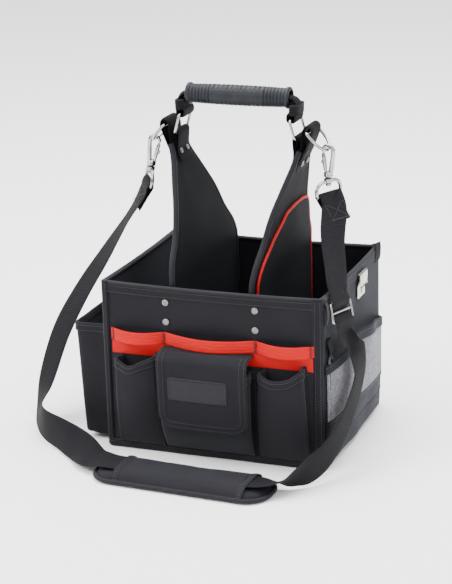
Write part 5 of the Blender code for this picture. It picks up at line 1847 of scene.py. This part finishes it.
# --------------------------------------------------------------------------- shoulder pad
# A foam base with round ends, bound along its edge, inside a polyester sleeve that is open
# at both ends for the strap. The sleeve's mouths are hemmed, and the foam swells under it.
PAD_CENTRE = Vector((-0.0065, -0.1980, 0.0))
PAD_TURN = -0.045
PAD_HALF_LENGTH = 0.1115
PAD_HALF_WIDTH = 0.0342
PAD_CORNER = 0.0290
PAD_LOW = 0.0006
PAD_THICKNESS = 0.0088
SLEEVE_START = -0.0800
SLEEVE_END = 0.0860
SLEEVE_COLUMNS = 22
PAD_VOXEL = 0.0035
PAD_PRESSURE = 4.0
SWELL_SHARE = 0.55
SWELL_FRAMES = 20
SWELL_CAP = 0.0035

pad_turned = Matrix.Translation(PAD_CENTRE) @ Matrix.Rotation(PAD_TURN, 4, "Z")


pad_lengths = steps(-PAD_HALF_LENGTH, PAD_HALF_LENGTH, 0.0035)
pad_shares = [sin(pi / 2 * i / 14) for i in range(-14, 15)]
pad_top, pad_bottom = [], []
for share in pad_shares:
    top_row, bottom_row = [], []
    for x in pad_lengths:
        past = abs(x) - (PAD_HALF_LENGTH - PAD_CORNER)
        y = share * (PAD_HALF_WIDTH - corner_pull(past, PAD_CORNER))
        inset = inside_by(past, abs(y) - (PAD_HALF_WIDTH - PAD_CORNER), PAD_CORNER)
        edge = 1 - eased(0.0, 0.0095, inset)
        top_row.append(Vector((x, y, PAD_LOW + PAD_THICKNESS * (1 - 0.62 * edge ** 1.6))))
        bottom_row.append(Vector((x, y, PAD_LOW + 0.0012 * edge)))
    pad_top.append(top_row)
    pad_bottom.append(bottom_row)
pad = cloth_solid("shoulder_pad_base", pad_top, pad_bottom, polyester)


def applied(piece):
    """Replace a piece's mesh by what its modifiers make of it."""
    graph = bpy.context.evaluated_depsgraph_get()
    mesh = bpy.data.meshes.new_from_object(piece.evaluated_get(graph))
    piece.modifiers.clear()
    piece.data = mesh


voxels = pad.modifiers.new("voxels", "REMESH")
voxels.mode = "VOXEL"
voxels.voxel_size = PAD_VOXEL
applied(pad)
still = [v.co.copy() for v in pad.data.vertices]
cloth = pad.modifiers.new("cloth", "CLOTH")
cloth.settings.use_pressure = True
cloth.settings.uniform_pressure_force = PAD_PRESSURE
cloth.settings.effector_weights.gravity = 0.0
cloth.point_cache.frame_start = 1
cloth.point_cache.frame_end = SWELL_FRAMES
for frame_number in range(1, SWELL_FRAMES + 1):
    bpy.context.scene.frame_set(frame_number)
applied(pad)
for vertex, before in zip(pad.data.vertices, still):
    move = vertex.co - before
    if move.length > SWELL_CAP:
        move = move.normalized() * SWELL_CAP
    place = before + move * SWELL_SHARE
    place.z = max(place.z, PAD_LOW)
    vertex.co = place
bpy.context.scene.frame_set(1)
smoother = pad.modifiers.new("rounder", "SUBSURF")
smoother.levels = 1
smoother.render_levels = 1
applied(pad)
pad.data.transform(pad_turned)
for polygon in pad.data.polygons:
    polygon.use_smooth = True
pad.data.materials.clear()
pad.data.materials.append(polyester)
sewn(pad, "shoulder_pad")

pad_tree = BVHTree.FromPolygons([v.co.copy() for v in pad.data.vertices],
                                [list(p.vertices) for p in pad.data.polygons])


def over_pad(x, y, lift):
    """A point over the pad's top at a place along and across it, turned with the pad."""
    place = pad_turned @ Vector((x, y, 0.05))
    hit = pad_tree.ray_cast(place, Vector((0, 0, -1)))[0]
    ground = hit.z if hit else PAD_LOW + 0.002
    return Vector((place.x, place.y, ground + lift))


sleeve_lengths = steps(SLEEVE_START, SLEEVE_END, 0.0030)
sleeve_shares = [i / SLEEVE_COLUMNS for i in range(-SLEEVE_COLUMNS, SLEEVE_COLUMNS + 1)]
sleeve_outer, sleeve_inner = [], []
for share in sleeve_shares:
    outer_row, inner_row = [], []
    for x in sleeve_lengths:
        reach = PAD_HALF_WIDTH + 0.0006
        y = share * reach * (1 - 0.02 * sin(pi * (x - SLEEVE_START) / (SLEEVE_END - SLEEVE_START)))
        strap_room = 0.0026 * (1 - eased(0.42, 0.92, abs(share)))
        mouth = 0.0012 * (eased(SLEEVE_END - 0.010, SLEEVE_END, x)
                          + eased(-SLEEVE_START - 0.010, -SLEEVE_START, -x))
        hem = 0.0005 * (eased(SLEEVE_END - 0.0085, SLEEVE_END - 0.0078, x)
                        + eased(-SLEEVE_START - 0.0085, -SLEEVE_START - 0.0078, -x))
        pucker = noise.noise(Vector((x * 30, y * 42, 7.7))) * 0.0007
        edge = eased(0.90, 1.0, abs(share))
        inside_x = max(-PAD_HALF_LENGTH + 0.02, min(PAD_HALF_LENGTH - 0.02, x))
        base = over_pad(inside_x, y * 0.985, 0.0)
        place = pad_turned @ Vector((x, y, 0.0))
        top = (max(base.z, PAD_LOW + 0.004) + 0.0009 + (strap_room + mouth) * (1 - edge)
               + hem + pucker)
        z = top * (1 - edge) + (PAD_LOW + 0.0030) * edge
        outer_row.append(Vector((place.x, place.y, z)))
        inner_row.append(Vector((place.x, place.y, z - 0.0011)))
    sleeve_outer.append(outer_row)
    sleeve_inner.append(inner_row)
sleeve = cloth_solid("shoulder_pad_sleeve", sleeve_outer, sleeve_inner, polyester)
sewn(sleeve)

pad_edge = []
for corner_x, corner_y, start in ((1, -1, -90), (1, 1, 0), (-1, 1, 90), (-1, -1, 180)):
    for i in range(13):
        turn = radians(start + 90 * i / 12)
        reach = PAD_CORNER - 0.0008
        pad_edge.append(Vector((corner_x * (PAD_HALF_LENGTH - PAD_CORNER) + reach * cos(turn),
                                corner_y * (PAD_HALF_WIDTH - PAD_CORNER) + reach * sin(turn),
                                PAD_LOW + 0.0030)))
edge_chain = []
for one, following in zip(pad_edge, pad_edge[1:] + pad_edge[:1]):
    count = max(1, ceil((following - one).length / 0.005))
    edge_chain += [one.lerp(following, i / count) for i in range(count)]
edge_chain = [pad_turned @ p for p in edge_chain]
pad_binding = oval_tube_along("shoulder_pad_binding", edge_chain, Z_WAY, 0.0052, 0.0054,
                              bound_tape, closed=True)
sewn(pad_binding)
sleeve_seams = []
for x in (SLEEVE_START + 0.0025, SLEEVE_START + 0.0070, SLEEVE_END - 0.0070, SLEEVE_END - 0.0025):
    j = min(range(len(sleeve_lengths)), key=lambda k: abs(sleeve_lengths[k] - x))
    sleeve_seams.append([row[j] + Vector((0, 0, 0.0003)) for row in sleeve_outer])
sew("shoulder_pad_stitching", sleeve_seams)
